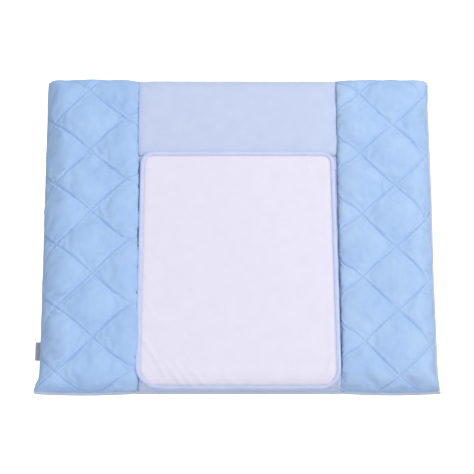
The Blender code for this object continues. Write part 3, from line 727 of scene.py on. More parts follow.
def relax_cloth(points, pinned, expand, pressure, frames, cap):
    """Runs cloth over a grid of points and returns how far each settles, no more than cap."""
    rows, columns = points.shape[:2]
    obj = mesh_object("cloth_trial", points.reshape(-1, 3), [grid_faces(rows, columns)])
    group = obj.vertex_groups.new(name="pinned")
    group.add(np.flatnonzero(pinned.ravel()).tolist(), 1.0, "REPLACE")
    cloth = obj.modifiers.new("cloth", "CLOTH")
    settings = cloth.settings
    settings.quality = 5
    settings.mass = 0.15
    settings.air_damping = 4.0
    settings.tension_stiffness = settings.compression_stiffness = 20.0
    settings.shear_stiffness = 8.0
    settings.bending_stiffness = 0.3
    settings.vertex_group_mass = "pinned"
    settings.shrink_min = -expand
    settings.use_pressure = True
    settings.uniform_pressure_force = pressure
    settings.effector_weights.gravity = 0.0
    cloth.collision_settings.use_collision = False
    cloth.point_cache.frame_start, cloth.point_cache.frame_end = 1, frames
    scene = bpy.context.scene
    for number in range(1, frames + 1):
        scene.frame_set(number)
    settled = obj.evaluated_get(bpy.context.evaluated_depsgraph_get()).data
    flat = np.empty(len(settled.vertices) * 3)
    settled.vertices.foreach_get("co", flat)
    scene.frame_set(1)
    mesh = obj.data
    bpy.data.objects.remove(obj)
    bpy.data.meshes.remove(mesh)
    move = flat.reshape(points.shape) - points
    size = np.linalg.norm(move, axis=2, keepdims=True)
    return move * np.minimum(1, cap / np.maximum(size, 1e-9))


class QuiltedTop:
    """One side's quilted velour as a function of the cloth's own coordinates."""

    def __init__(self, side, pillow):
        self.side, self.pillow, self.quilt = side, pillow, Quilting(side)
        across, along = pillow.lines(4.6 * MM)
        self.xs, self.ys = across[:, 0], along[0, :]
        self.move = np.zeros((*across.shape, 3))
        start = pillow.place(across, along)
        start = start + pillow.normals(across, along) * self.height(across, along)[..., None]
        near = np.minimum(*self.quilt.distances(*self.quilt.from_cloth(across, along)))
        pinned = (near < 0.0028) | (sewn_edges(pillow, across, along, 0.004) > 0.4)
        self.move = relax_cloth(start, pinned, 0.030, 0.7, 22, 0.006)

    def height(self, across, along):
        return puffed(self.quilt, self.pillow, across, along)

    def settled(self, across, along):
        """How far the cloth simulation moves a point of the surface."""
        i = np.interp(across, self.xs, np.arange(len(self.xs)))
        j = np.interp(along, self.ys, np.arange(len(self.ys)))
        low_i = np.minimum(i.astype(int), len(self.xs) - 2)
        low_j = np.minimum(j.astype(int), len(self.ys) - 2)
        s, t = smooth(i - low_i)[..., None], smooth(j - low_j)[..., None]
        fade = smooth((self.pillow.limit("rear") - along) / 0.060)[..., None]
        first = self.move[low_i, low_j] * (1 - s) + self.move[low_i + 1, low_j] * s
        second = self.move[low_i, low_j + 1] * (1 - s) + self.move[low_i + 1, low_j + 1] * s
        return (first * (1 - t) + second * t) * fade

    def place(self, across, along, depth=0.0):
        """Points of the surface, or of a layer at a depth below it."""
        u, v = self.quilt.from_cloth(across, along)
        near = np.minimum(*self.quilt.distances(u, v))
        edge = sewn_edges(self.pillow, across, along, 0.010)
        height = self.height(across, along)
        height = height + GATHER[self.side] * gathers(self.quilt, u, v) * (1 - edge)
        height = height - 0.0005 * bump_at(near, 0.0011) * (1 - edge)
        points = self.pillow.place(across, along) + self.settled(across, along)
        return points + self.pillow.normals(across, along) * (height - depth)[..., None]

    # The stitch lines' mask for the velour's painted shade, 1 on a line
    def groove_shade(self, across, along):
        near = np.minimum(*self.quilt.distances(*self.quilt.from_cloth(across, along)))
        return bump_at(near, 0.0022)

    def mesh(self, steps):
        """Cloth coordinates and faces of a mesh whose lines follow the stitching."""
        low = np.array([self.pillow.limit("left"), self.pillow.limit("front")])
        high = np.array([self.pillow.limit("right"), self.pillow.limit("rear")])
        corners = np.array([(low[0], low[1]), (high[0], low[1]), (high[0], high[1]), (low[0], high[1])])
        reach = np.array(self.quilt.from_cloth(corners[:, 0], corners[:, 1]))
        share = np.arange(steps) / steps
        share = share - 0.8 * np.sin(2 * np.pi * share) / (2 * np.pi)
        lines = []
        for values in reach:
            whole = np.arange(np.floor(values.min()) - 1, np.ceil(values.max()) + 2)
            lines.append((whole[:, None] + share[None, :]).ravel())
        u, v = np.meshgrid(*lines, indexing="ij")
        across, along = self.quilt.to_cloth(u, v)
        flat = np.stack([across.ravel(), along.ravel()], axis=-1)
        faces = grid_faces(*u.shape, flip=True)
        margin = 0.012
        inside = ((flat > low - margin) & (flat < high + margin)).all(axis=1)
        faces = faces[inside[faces].all(axis=1)]
        return clipped(flat, faces, low, high)


def clipped(flat, faces, low, high):
    """The part of a flat mesh that lies in a rectangle: its points, and its faces as lists."""
    used, faces = np.unique(faces, return_inverse=True)
    faces = faces.reshape(-1, 4)
    mesh = bpy.data.meshes.new("flat")
    points = np.column_stack([flat[used], np.zeros(len(used))])
    mesh.from_pydata(points.tolist(), [], faces.tolist())
    shape = bmesh.new()
    shape.from_mesh(mesh)
    for axis in (0, 1):
        for limit, sign in ((low[axis], -1), (high[axis], 1)):
            place, normal = [0.0, 0.0, 0.0], [0.0, 0.0, 0.0]
            place[axis], normal[axis] = limit, sign
            geometry = shape.verts[:] + shape.edges[:] + shape.faces[:]
            bmesh.ops.bisect_plane(
                shape, geom=geometry, dist=1e-6, plane_co=place, plane_no=normal, clear_outer=True
            )
    bmesh.ops.remove_doubles(shape, verts=shape.verts[:], dist=0.00012)
    shape.verts.index_update()
    places = np.array([vertex.co[:2] for vertex in shape.verts])
    outlines = [[vertex.index for vertex in face.verts] for face in shape.faces]
    shape.free()
    bpy.data.meshes.remove(mesh)
    return places, outlines


def shell(name, outer, inner, outlines):
    """A closed sheet between two sets of points with the same faces."""
    count = len(outer)
    edges = np.array([(a, b) for face in outlines for a, b in zip(face, face[1:] + face[:1])])
    codes = edges[:, 0].astype(np.int64) * count + edges[:, 1]
    backward = edges[:, 1].astype(np.int64) * count + edges[:, 0]
    rim = edges[~np.isin(codes, backward)]
    below = [[vertex + count for vertex in reversed(face)] for face in outlines]
    sides = np.stack([rim[:, 1], rim[:, 0], rim[:, 0] + count, rim[:, 1] + count], axis=-1)
    mesh = bpy.data.meshes.new(name)
    mesh.from_pydata(np.concatenate([outer, inner]).tolist(), [], outlines + below + sides.tolist())
    mesh.validate()
    mesh.shade_smooth()
    obj = bpy.data.objects.new(name, mesh)
    bpy.context.scene.collection.objects.link(obj)
    return obj


def stitch_dashes(path, ups, length, gap, radius):
    """Sewn stitches along a path of points: short rounded bars that dip in at both ends."""
    step = np.linalg.norm(np.diff(path, axis=0), axis=1)
    reach = np.concatenate([[0], np.cumsum(step)])
    starts = np.arange(gap, reach[-1] - length, length + gap)
    shares = np.linspace(0, 1, 5)
    at = starts[:, None] + length * shares[None, :]
    centre = np.stack([np.interp(at, reach, path[:, k]) for k in range(3)], axis=-1)
    up = np.stack([np.interp(at, reach, ups[:, k]) for k in range(3)], axis=-1)
    along = np.gradient(centre, axis=1)
    along /= np.maximum(np.linalg.norm(along, axis=2, keepdims=True), 1e-12)
    side = np.cross(up, along)
    centre = centre + up * (radius * (0.9 - 2.2 * (2 * shares - 1) ** 4))[None, :, None]
    turn = np.linspace(0, 2 * np.pi, 6, endpoint=False)
    swell = np.array([0.25, 0.9, 1.0, 0.9, 0.25]) * radius
    ring = side[:, :, None] * np.cos(turn)[:, None] + up[:, :, None] * np.sin(turn)[:, None]
    points = centre[:, :, None] + ring * swell[None, :, None, None]
    count = len(starts)
    body = np.arange(count * 30).reshape(count, 5, 6)
    nxt = np.roll(body, -1, axis=2)
    quads = np.stack([body[:, :-1], nxt[:, :-1], nxt[:, 1:], body[:, 1:]], axis=-1).reshape(-1, 4)
    first, last = body[:, 0], body[:, 4]
    caps = [first[:, [0, 5, 4, 3]], first[:, [0, 3, 2, 1]], last[:, [0, 1, 2, 3]], last[:, [0, 3, 4, 5]]]
    return points.reshape(-1, 3), quads, np.concatenate(caps)


def joined_dashes(name, parts, material, slot, body):
    """One object from several runs of stitches."""
    points, quads, caps, offset = [], [], [], 0
    for vertices, sides, ends in parts:
        points.append(vertices)
        quads.append(sides + offset)
        caps.append(ends + offset)
        offset += len(vertices)
    vertices = np.concatenate(points)
    obj = mesh_object(name, vertices, [np.concatenate(quads + caps)])
    dress(obj, slot, body, cloth=(vertices[:, 0], vertices[:, 1]), material=material)


def quilt_stitches(top):
    """Stitches along every quilting line, laid in its crease."""
    low = np.array([top.pillow.limit("left"), top.pillow.limit("front")]) + 0.005
    high = np.array([top.pillow.limit("right"), top.pillow.limit("rear")]) - 0.005
    position = np.arange(-8, 8, 0.012)
    parts = []
    for number in range(-8, 9):
        fixed = np.full_like(position, number)
        for u, v in ((fixed, position), (position, fixed)):
            across, along = top.quilt.to_cloth(u, v)
            inside = (across > low[0]) & (across < high[0]) & (along > low[1]) & (along < high[1])
            if inside.sum() < 8:
                continue
            across, along = across[inside], along[inside]
            path = top.place(across, along, 0.00012)
            ups = top.pillow.normals(across, along)
            parts.append(stitch_dashes(path, ups, 0.0030, 0.0011, STITCH_RADIUS))
    joined_dashes(f"{top.side}_quilt_stitches", parts, "thread", "velour", f"{top.side}_wing")


# How far below the velour the wadding's two faces lie, and how much of each span it fills
WADDING_DEPTHS = (0.0026, 0.0062)
WADDING_SPAN = (0.86, 0.96)


def build_quilted_side(side, pillow):
    body = f"{side}_wing"
    top = QuiltedTop(side, pillow)
    flat, outlines = top.mesh(42)
    across, along = flat[:, 0], flat[:, 1]
    cover = shell(
        f"{side}_velour_cover", top.place(across, along), top.place(across, along, COVER), outlines
    )
    # the grooves' mask sets where the velour's painted shade goes
    add_values(cover, "groove_shade", top.groove_shade(across, along))
    dress(cover, "velour", body, f"{side}_quilted_panel", (across, along), f"velour_{side}")
    across, along = pillow.lines(4.0 * MM)
    middle = (pillow.limit("left") + pillow.limit("right")) / 2
    across, along = middle + (across - middle) * WADDING_SPAN[0], along * WADDING_SPAN[1]
    upper, lower = (top.place(across, along, depth) for depth in WADDING_DEPTHS)
    dress(sheet(f"{side}_wadding_layer", upper, lower), "wadding", body, f"{side}_quilt_wadding")
    quilt_stitches(top)


# ---- underside, walls and edge seams ---------------------------------------------------


def end_roll(y):
    """How far the underside's roll sits out from the plan at an end, and how far it has turned."""
    turn = np.arccos(1 - np.clip((HALF_DEPTH - np.abs(y)) / UNDER_RUN, 0, 1))
    return np.sign(y) * (UNDER_ROLL * np.sin(2 * turn) - END_SETBACK * np.cos(turn) ** 2), turn


def under_points(left, right, low, high, seams, recess):
    """A section's underside: flat, rolling out and up to the edge seam at its free sides."""
    xs = edge_spread(left, right, "left" in seams, "right" in seams)
    ys = edge_spread(low, high, low > -HALF_DEPTH, high < HALF_DEPTH)
    x, y = np.meshgrid(xs, ys, indexing="ij")
    wx, wy = outline_warp(x, y)
    share, tuck = np.ones_like(x), np.zeros_like(x)
    for name, distance, sign in (("left", x - left, -1), ("right", right - x, 1)):
        if name in seams:
            tuck = np.maximum(tuck, bump_at(distance, 0.004))
            continue
        turn = np.arccos(1 - np.clip(distance / UNDER_RUN, 0, 1))
        share = share * np.sin(turn)
        setback = side_setback(name, y)
        wx = wx + sign * ((0.0006 + 0.95 * setback) * np.sin(2 * turn) - setback * np.cos(turn) ** 2)
    roll, turn = end_roll(y)
    share, wy = share * np.sin(turn), wy + roll
    rim = RIM_Z - 0.0004
    z = rim * (1 - share) + 0.0028 * tuck * share
    if recess:
        z = z + zip_recess(y) * share
    puff = 0.0006 * (noise2(x / 0.05, y / 0.05, 12) + 1)
    puff = puff + 0.0004 * (noise2(x / 0.017, y / 0.02, 2) + 1)
    z = z + 0.6 * puff * share**8
    return x, y, np.stack([wx, wy, z], axis=-1)


def edge_spread(low, high, low_seam, high_seam, spacing=5 * MM):
    """Lines from low to high, closer together over a curled edge."""
    turns = 1 - np.cos(np.linspace(0, np.pi / 2, 9))
    start = low + (0.006 if low_seam else UNDER_RUN) * turns
    stop = high - (0.006 if high_seam else UNDER_RUN) * turns[::-1]
    count = int((stop[0] - start[-1]) / spacing)
    middle = np.linspace(start[-1], stop[0], max(count, 2) + 1)[1:-1]
    return np.concatenate([start, middle, stop])


def zip_recess(y):
    """The underside lifts beside the zip, so that the slider stays clear of the floor."""
    return ZIP_LIFT * smooth(1 - (np.abs(y - ZIP_Y) - ZIP_HALF_GAP) / ZIP_LIFT_RUN)


def build_backs():
    depth = (-HALF_DEPTH, HALF_DEPTH)
    front, rear = (-HALF_DEPTH, ZIP_Y - ZIP_HALF_GAP), (ZIP_Y + ZIP_HALF_GAP, HALF_DEPTH)
    centre, both = (-SEAM_X, SEAM_X), ("left", "right")
    for name, body, node, width, length, seams in (
        ("left_back_cover", "left_wing", "left_back_panel", (-HALF_WIDTH, -WING_EDGE), depth, ("right",)),
        ("right_back_cover", "right_wing", "right_back_panel", (WING_EDGE, HALF_WIDTH), depth, ("left",)),
        ("centre_back_cover_front", "centre", "back_front_panel", centre, front, both),
        ("centre_back_cover_rear", "centre", "back_rear_panel", centre, rear, both),
    ):
        x, y, points = under_points(*width, *length, seams, recess=body == "centre")
        back = sheet(name, points, points + np.array([0, 0, COVER]), flip=True)
        dress(back, "plain_fabric", body, node, (x, y))


def end_curve(y):
    """The share of the centre's height that is reached at y, 0 on the end seams."""
    return np.sqrt(1 - (1 - np.clip((HALF_DEPTH - np.abs(y)) / CENTRE_RUN, 0, 1)) ** 2)


def build_wall(name, body, node, x, inward, top):
    """The cloth wall beside a seam. It bellies in a little, away from its neighbour."""
    ys = HALF_DEPTH * np.sin(np.linspace(-1, 1, 200) * 0.99 * np.pi / 2)
    y, share = np.meshgrid(ys, np.linspace(0, 1, 13), indexing="ij")
    seam = np.full_like(y, x)
    flat = outline_warp(seam, y)[1]
    roll, turn = end_roll(y)
    low_y, high_y = flat + roll, flat - seam_inset(seam, flat)[1]
    low_z = RIM_Z - (RIM_Z - WALL_FOOT) * np.sin(turn)
    high_z = RIM_Z + (top - RIM_Z) * end_curve(y)
    wall_y = low_y + (high_y - low_y) * share
    z = low_z + (high_z - low_z) * share
    belly = 0.0007 * np.sin(np.pi * share) * (1 + 0.4 * ripple(y / 0.06, 3)) + 0.0002
    lean = seam_shift(seam, y) * smooth((share - 0.84) / 0.16)
    points = np.stack([x + inward * belly - lean, wall_y, z], axis=-1)
    wall = sheet(name, points, points + np.array([inward * WALL, 0, 0]), flip=inward > 0)
    dress(wall, "plain_fabric", body, node, (y, z))


def build_seam_strip(side, sign):
    """The top of a wing's partition, sewn to the velour at the inner seam."""
    ys = np.linspace(-HALF_DEPTH + 0.006, HALF_DEPTH - 0.006, 150)
    y, share = np.meshgrid(ys, np.linspace(0, 1, 5), indexing="ij")
    low, high = WING_WALL_TOP - STRIP, VALLEY_Z + 0.0004
    z = RIM_Z + (low + (high - low) * share - RIM_Z) * end_curve(y)
    x = np.full_like(y, sign * (SEAM_X + 0.0009))
    points = np.stack([x - seam_shift(x, y), outline_warp(x, y)[1], z], axis=-1)
    strip = sheet(f"{side}_wing_seam_strip", points, points + np.array([sign * STRIP, 0, 0]), sign > 0)
    dress(strip, "plain_fabric", f"{side}_wing", cloth=(y, z))


def build_walls():
    top = VALLEY_Z - 0.0015
    for side, sign in (("left", -1), ("right", 1)):
        build_wall(f"centre_{side}_partition", "centre", f"centre_{side}_wall", sign * SEAM_X, -sign, top)
        build_wall(
            f"{side}_wing_partition", f"{side}_wing", f"{side}_inner_wall",
            sign * (SEAM_X + 0.0006), sign, WING_WALL_TOP,
        )
        build_seam_strip(side, sign)


def swept_tube(name, path, ups, width, height, steps=10):
    """A soft oval cord along a path of points, closed at both ends."""
    count = len(path)
    forward = np.gradient(path, axis=0)
    forward /= np.linalg.norm(forward, axis=1, keepdims=True)
    side = np.cross(forward, ups)
    side /= np.linalg.norm(side, axis=1, keepdims=True)
    turn = np.linspace(0, 2 * np.pi, steps, endpoint=False)
    ring = side[:, None] * (width * np.cos(turn))[:, None] + ups[:, None] * (height * np.sin(turn))[:, None]
    points = np.concatenate([(path[:, None] + ring).reshape(-1, 3), path[[0, -1]]])
    index = np.arange(count * steps).reshape(count, steps)
    index = np.concatenate([index, index[:, :1]], axis=1)
    quads = np.stack([index[:-1, :-1], index[:-1, 1:], index[1:, 1:], index[1:, :-1]], axis=-1)
    first, last = index[0], index[-1]
    start = np.full(steps, count * steps)
    return mesh_object(name, points, [
        quads.reshape(-1, 4),
        np.stack([start, first[1:], first[:-1]], axis=-1),
        np.stack([start + 1, last[:-1], last[1:]], axis=-1),
    ])


def rim_path(x_start, corner):
    """The edge seam from a side seam round two corners to the other end of the same seam."""
    first = np.linspace(x_start, corner, 70)
    free = np.linspace(-HALF_DEPTH, HALF_DEPTH, 220)[1:-1]
    xs = np.concatenate([first, np.full(len(free), corner), first[::-1]])
    ys = np.concatenate([np.full(70, -HALF_DEPTH), free, np.full(70, HALF_DEPTH)])
    x, y = outline_warp(xs, ys)
    inset_x, inset_y = seam_inset(x, y)
    return np.stack([x - inset_x, y - inset_y, np.full(len(x), RIM_Z)], axis=-1)


def build_edge_seams():
    """The lapped seam that shows as a pale line round the pad's edge."""
    for side, sign in (("left", -1), ("right", 1)):
        path = rim_path(sign * (SEAM_X + 0.001), sign * HALF_WIDTH)
        finish_edge(f"{side}_edge_seam", f"{side}_wing", path)
    for end, y in (("front", -HALF_DEPTH), ("rear", HALF_DEPTH)):
        xs = np.linspace(-SEAM_X + 0.001, SEAM_X - 0.001, 120)
        x, wy = outline_warp(xs, np.full(120, y))
        path = np.stack([x, wy - seam_inset(x, wy)[1], np.full(120, RIM_Z)], axis=-1)
        finish_edge(f"{end}_edge_seam", "centre", path)


def finish_edge(name, body, path):
    """One run of the edge seam, wandering a little off its path."""
    reach = np.concatenate([[0], np.cumsum(np.linalg.norm(np.diff(path, axis=0), axis=1))])
    waves = ((0.0003, 0.05), (0.0003, 0.05), (0.0006, 0.04))
    wander = [size * ripple(reach / length, seed) for seed, (size, length) in enumerate(waves, 1)]
    ups = np.tile([0.0, 0.0, 1.0], (len(path), 1))
    cord = swept_tube(name, path + np.stack(wander, axis=-1), ups, 0.0016, 0.0013)
    co = np.array([v.co for v in cord.data.vertices])
    dress(cord, "plain_fabric", body, cloth=(co[:, 0] + co[:, 1], co[:, 2]))


# ---- plain centre ----------------------------------------------------------------------


def crease(across, along, x0, y0, x1, y1, width):
    """A soft ridge along a line, fading out at both ends."""
    dx, dy = x1 - x0, y1 - y0
    size = np.hypot(dx, dy)
    t = ((across - x0) * dx + (along - y0) * dy) / size**2
    off = ((across - x0) * dy - (along - y0) * dx) / size
    return bump_at(off, width) * smooth((t + 0.15) / 0.35) * smooth((1.15 - t) / 0.35)


def centre_relief(across, along):
    """Slight slackness all over, drag lines at the side seams and gathers at the front corners."""
    inside = np.clip((SEAM_X + 0.005 - np.abs(across)) / 0.05, 0, 1)
    relief = 0.0006 * noise2(across / 0.085, along / 0.10, 21) * smooth(inside)
    relief += 0.0002 * noise2(across / 0.028, along / 0.05, 22) * smooth(inside)
    seam_pull = 1 - smooth(inside)
    relief += 0.0005 * ripple(along / 0.019, 5) * seam_pull * smooth(inside * 6)
    front = smooth((-0.325 - along) / 0.04)
    corner = smooth((np.abs(across) - 0.13) / 0.05)
    relief += 0.0026 * ripple(across / 0.016, 6) * front * corner
    return relief


def build_centre_panel(name, node, low, high):
    across, along = CENTRE.lines(4.0 * MM, low, high)
    points = CENTRE.place(across, along)
    edge = sewn_edges(CENTRE, across, along, 0.008)
    near_seam = np.abs(along - CROSS_SEAM_Y)
    relief = centre_relief(across, along) * (1 - edge)
    relief -= 0.0022 * bump_at(near_seam, 0.0045)
    relief += 0.0007 * bump_at(near_seam - 0.010, 0.006)
    points = points + normals_of(points) * relief[..., None]
    points, across, along = doubled(points), doubled(across), doubled(along)
    panel = sheet(name, points, points - normals_of(points) * COVER)
    dress(panel, "plain_fabric", "centre", node, (across, along))


def build_centre():
    build_centre_panel("centre_cover_front", "centre_front_panel", None, CROSS_SEAM_Y - 0.0002)
    build_centre_panel("centre_cover_rear", "centre_rear_panel", CROSS_SEAM_Y + 0.0002, None)


def build_fold_webs():
    """The strip of cloth in each valley that opens out as a side folds over, built as it lies with the
    sides flat: a fixed sheet sagging a little.
    """
    for side, sign in (("left", -1), ("right", 1)):
        reach = np.linspace(-1, 1, 33)
        ys = np.linspace(-HALF_DEPTH + 0.006, HALF_DEPTH - 0.006, 120)
        y, across = np.meshgrid(ys, reach, indexing="ij")
        curve = end_curve(y)
        top = RIM_Z + (VALLEY_Z - RIM_Z) * curve
        sag = 0.0035 * (1 - across**2) * curve
        x = sign * (SEAM_X + 0.0003 + 0.0006 * across)
        wy = outline_warp(x, y)[1]
        x = x - seam_shift(x, wy)
        upper = np.stack([x, wy, top - COVER / 2 - sag], axis=-1)
        web = sheet(f"{side}_fold_web", upper, upper - np.array([0, 0, COVER]), flip=sign > 0)
        dress(web, "plain_fabric", None, cloth=(across * 0.03, y))
        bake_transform(web)


# ---- towel -----------------------------------------------------------------------------

TOWEL_BEND_Y = -0.328
TOWEL_BEND_RADIUS = 0.049
TOWEL_FRONT = TOWEL_BEND_Y - TOWEL_BEND_RADIUS * np.radians(58)
# Half widths at the front by side (-1 left, 1 right), and how much narrower the rear is at each side
TOWEL_HALF = {-1: 0.2145, 1: 0.2125}
TOWEL_TAPER = 0.0042
REAR_CURVE = (0.028, 0.028)
FRONT_CURVE = {-1: (0.060, 0.046), 1: (0.043, 0.041)}
TOWEL_THICK = 0.0031
TERRY_LOW = 0.0011
BINDING_WIDTH = 0.0074
BINDING_PROUD = 0.0016

# Drag lines in the towel, as (x, y) to (x, y) in metres, half width and height in millimetres
TOWEL_CREASES = (
    ((-0.206, -0.262), (-0.152, -0.352), 4.5, 2.6),
    ((-0.166, -0.312), (-0.118, -0.368), 4.0, 2.4),
    ((-0.138, -0.318), (-0.094, -0.374), 3.5, 1.5),
    ((-0.108, -0.328), (-0.064, -0.377), 4.5, 1.8),
    ((-0.035, -0.345), (0.004, -0.377), 5.0, 1.2),
    ((0.125, -0.346), (0.035, -0.372), 5.0, 1.1),
    ((-0.210, -0.065), (-0.170, -0.098), 5.0, 0.9),
    ((-0.210, -0.112), (-0.172, -0.148), 5.0, 0.9),
    ((-0.208, -0.170), (-0.180, -0.212), 5.0, 0.8),
    ((0.208, -0.285), (0.182, -0.352), 5.5, 0.9),
    ((0.112, 0.172), (0.108, 0.120), 4.0, 0.5),
    ((0.150, 0.172), (0.154, 0.130), 4.0, 0.6),
    ((0.060, 0.172), (0.058, 0.140), 4.0, 0.4),
)


def towel_place(x, along, height):
    """Points at a height above the towel's underside, bent down over the front."""
    angle = np.clip(TOWEL_BEND_Y - along, 0, None) / TOWEL_BEND_RADIUS
    reach = TOWEL_BEND_RADIUS + height
    y = np.where(angle > 0, TOWEL_BEND_Y - reach * np.sin(angle), along)
    z = TOWEL_BASE - TOWEL_BEND_RADIUS + reach * np.cos(angle)
    return np.stack([x, y, z], axis=-1)


def towel_wave(x, along):
    """How far the towel lifts off level, in metres: slack, creases, and ripples near its sides and over the
    front.
    """
    lift = 0.0005 * noise2(x / 0.11, along / 0.12, 31) + 0.00025 * noise2(x / 0.03, along / 0.035, 32)
    for (x0, y0), (x1, y1), width, height in TOWEL_CREASES:
        lift = lift + height * MM * crease(x, along, x0, y0, x1, y1, width * MM)
    near_edge = smooth((np.abs(x) - (TOWEL_HALF[1] - 0.030)) / 0.030)
    lift = lift + 0.0007 * near_edge * ripple(along / 0.055, 8)
    front = smooth((TOWEL_BEND_Y - 0.012 - along) / 0.03)
    return lift + 0.0006 * front * ripple(x / 0.045, 9)


def towel_corners():
    """(side, end, curve across, curve along) of each corner, anticlockwise from the right front."""
    return (
        (1, -1, *FRONT_CURVE[1]), (1, 1, *REAR_CURVE), (-1, 1, *REAR_CURVE), (-1, -1, *FRONT_CURVE[-1]),
    )


def towel_side(side, along):
    """How far the towel reaches to one side. It narrows a little towards the rear."""
    half = TOWEL_HALF[side] - TOWEL_TAPER * (along - TOWEL_FRONT) / (TOWEL_REAR - TOWEL_FRONT)
    for corner_side, end, curve_x, curve_y in towel_corners():
        if corner_side == side:
            distance = TOWEL_REAR - along if end > 0 else along - TOWEL_FRONT
            left = np.clip(1 - distance / curve_y, 0, 1)
            half = half - curve_x * (1 - np.sqrt(1 - left**2))
    return half


def towel_grid(columns, rows):
    """Places across and along the flat towel, closer together towards its edges."""
    crowding = 0.92 * np.pi / 2
    shares = np.sin(np.linspace(-1, 1, columns) * crowding) / np.sin(crowding)
    turns = 1 - np.cos(np.linspace(0, np.pi / 2, 21))
    front = TOWEL_FRONT + FRONT_CURVE[-1][1] * turns
    rear = TOWEL_REAR - REAR_CURVE[1] * turns[::-1]
    middle = np.linspace(front[-1], rear[0], rows)[1:-1]
    along, share = np.meshgrid(np.concatenate([front, middle, rear]), shares, indexing="ij")
    along, share = along.T, share.T
    left, right = towel_side(-1, along), towel_side(1, along)
    return (right - left) / 2 + share * (right + left) / 2, along


def from_towel_edge(x, along):
    """Roughly how far a point of the towel is from its edge."""
    left, right = towel_side(-1, along), towel_side(1, along)
    return np.minimum.reduce([x + left, right - x, along - TOWEL_FRONT, TOWEL_REAR - along])


def build_towel_layer(name, node, low, high, slot):
    x, along = towel_grid(110, 150)
    wave = towel_wave(x, along)
    inset = from_towel_edge(x, along) - BINDING_WIDTH
    pinch = bump_at(inset - 0.0012, 0.0022)
    swell = 0.0005 * bump_at(inset - 0.012, 0.006)
    share = (high - TOWEL_LINING) / TOWEL_THICK
    outer = towel_place(x, along, high + wave + share * (swell - 0.0007 * pinch))
    inner = towel_place(x, along, low + wave)
    layer = sheet(name, outer, inner)
    # the dip beside the binding also sets where the terry's painted shade goes
    add_values(layer, "groove_shade", pinch)
    dress(layer, slot, "towel", node, (x, along))


def towel_outline(count=420):
    """Points and outward directions round the flat towel, evenly spaced along its length."""
    xs, ys, out_x, out_y = [], [], [], []
    for side, end, curve_x, curve_y in towel_corners():
        start = {(1, -1): -90, (1, 1): 0, (-1, 1): 90, (-1, -1): 180}[side, end]
        angle = np.radians(start + np.linspace(0, 90, 25))
        half = TOWEL_HALF[side] - (TOWEL_TAPER if end > 0 else 0)
        edge = TOWEL_REAR if end > 0 else TOWEL_FRONT
        xs.append(side * (half - curve_x) + curve_x * np.cos(angle))
        ys.append(edge - end * curve_y + curve_y * np.sin(angle))
        out_x.append(curve_y * np.cos(angle))
        out_y.append(curve_x * np.sin(angle))
    x, y, nx, ny = (np.concatenate(part) for part in (xs, ys, out_x, out_y))
    size = np.hypot(nx, ny)
    loops = [np.append(loop, loop[0]) for loop in (x, y, nx / size, ny / size)]
    reach = np.concatenate([[0], np.cumsum(np.hypot(np.diff(loops[0]), np.diff(loops[1])))])
    at = np.linspace(0, reach[-1], count, endpoint=False)
    x, y, nx, ny = (np.interp(at, reach, loop) for loop in loops)
    size = np.hypot(nx, ny)
    return x, y, nx / size, ny / size, at


def binding_section():
    """The folded tape's outline as (distance out from the towel's edge, height), a soft U.

    The second value is how many of the points, at its end, are on the side that faces the towel.
    """
    top = TOWEL_THICK + 0.0017
    low = -0.0010
    middle, half = (top + low) / 2, (top - low) / 2
    turn = np.linspace(-np.pi / 2, np.pi / 2, 11)
    nose_out = (BINDING_PROUD + 0.0008) * np.cos(turn) - 0.0008
    nose = np.stack([nose_out, middle + half * np.sin(turn)], axis=-1)
    inner_low = [(-BINDING_WIDTH, low + 0.0008), (-BINDING_WIDTH * 0.86, low), (-0.004, low)]
    outer_top = [(-0.0024, top + 0.0003), (-0.0042, top + 0.0003), (-0.0058, top - 0.0003)]
    outer_top += [(-0.0069, top - 0.0010), (-BINDING_WIDTH, top - 0.0015)]
    above, below = TOWEL_THICK + 0.0001, -0.0001
    lining = [(-BINDING_WIDTH, above), (-0.0010, above), (0.0003, middle)]
    lining += [(-0.0010, below), (-BINDING_WIDTH, below)]
    return np.concatenate([inner_low, nose, outer_top, lining]), len(lining)


def build_binding():
    section, lining = binding_section()
    x, along, nx, ny, at = towel_outline()
    out, height = section[:, 0][None, :], section[:, 1][None, :]
    px = x[:, None] + nx[:, None] * out
    py = along[:, None] + ny[:, None] * out
    outside = np.arange(len(section)) < len(section) - lining
    gather = 0.00022 * (ripple(at / 0.011, 2) + 0.5 * ripple(at / 0.0047, 5))[:, None] * outside
    flat_x = np.clip(px, -TOWEL_HALF[-1], TOWEL_HALF[1])
    lift = towel_wave(flat_x, np.clip(py, TOWEL_FRONT, TOWEL_REAR))
    sign = np.sign(height - TOWEL_THICK / 2)
    points = towel_place(px, py, height + lift + gather * sign)
    rows, columns = points.shape[:2]
    index = np.arange(rows * columns).reshape(rows, columns)
    index = np.concatenate([index, index[:1]])
    index = np.concatenate([index, index[:, :1]], axis=1)
    quads = np.stack([index[:-1, :-1], index[1:, :-1], index[1:, 1:], index[:-1, 1:]], axis=-1)
    binding = mesh_object("towel_bound_edge", points.reshape(-1, 3), [quads.reshape(-1, 4)])
    girth = np.concatenate([[0], np.cumsum(np.hypot(*np.diff(section, axis=0).T))])
    cloth = np.broadcast_arrays(at[:, None], girth[None, :])
    dress(binding, "binding_tape", "towel", "towel_binding", cloth)
    build_binding_stitches()


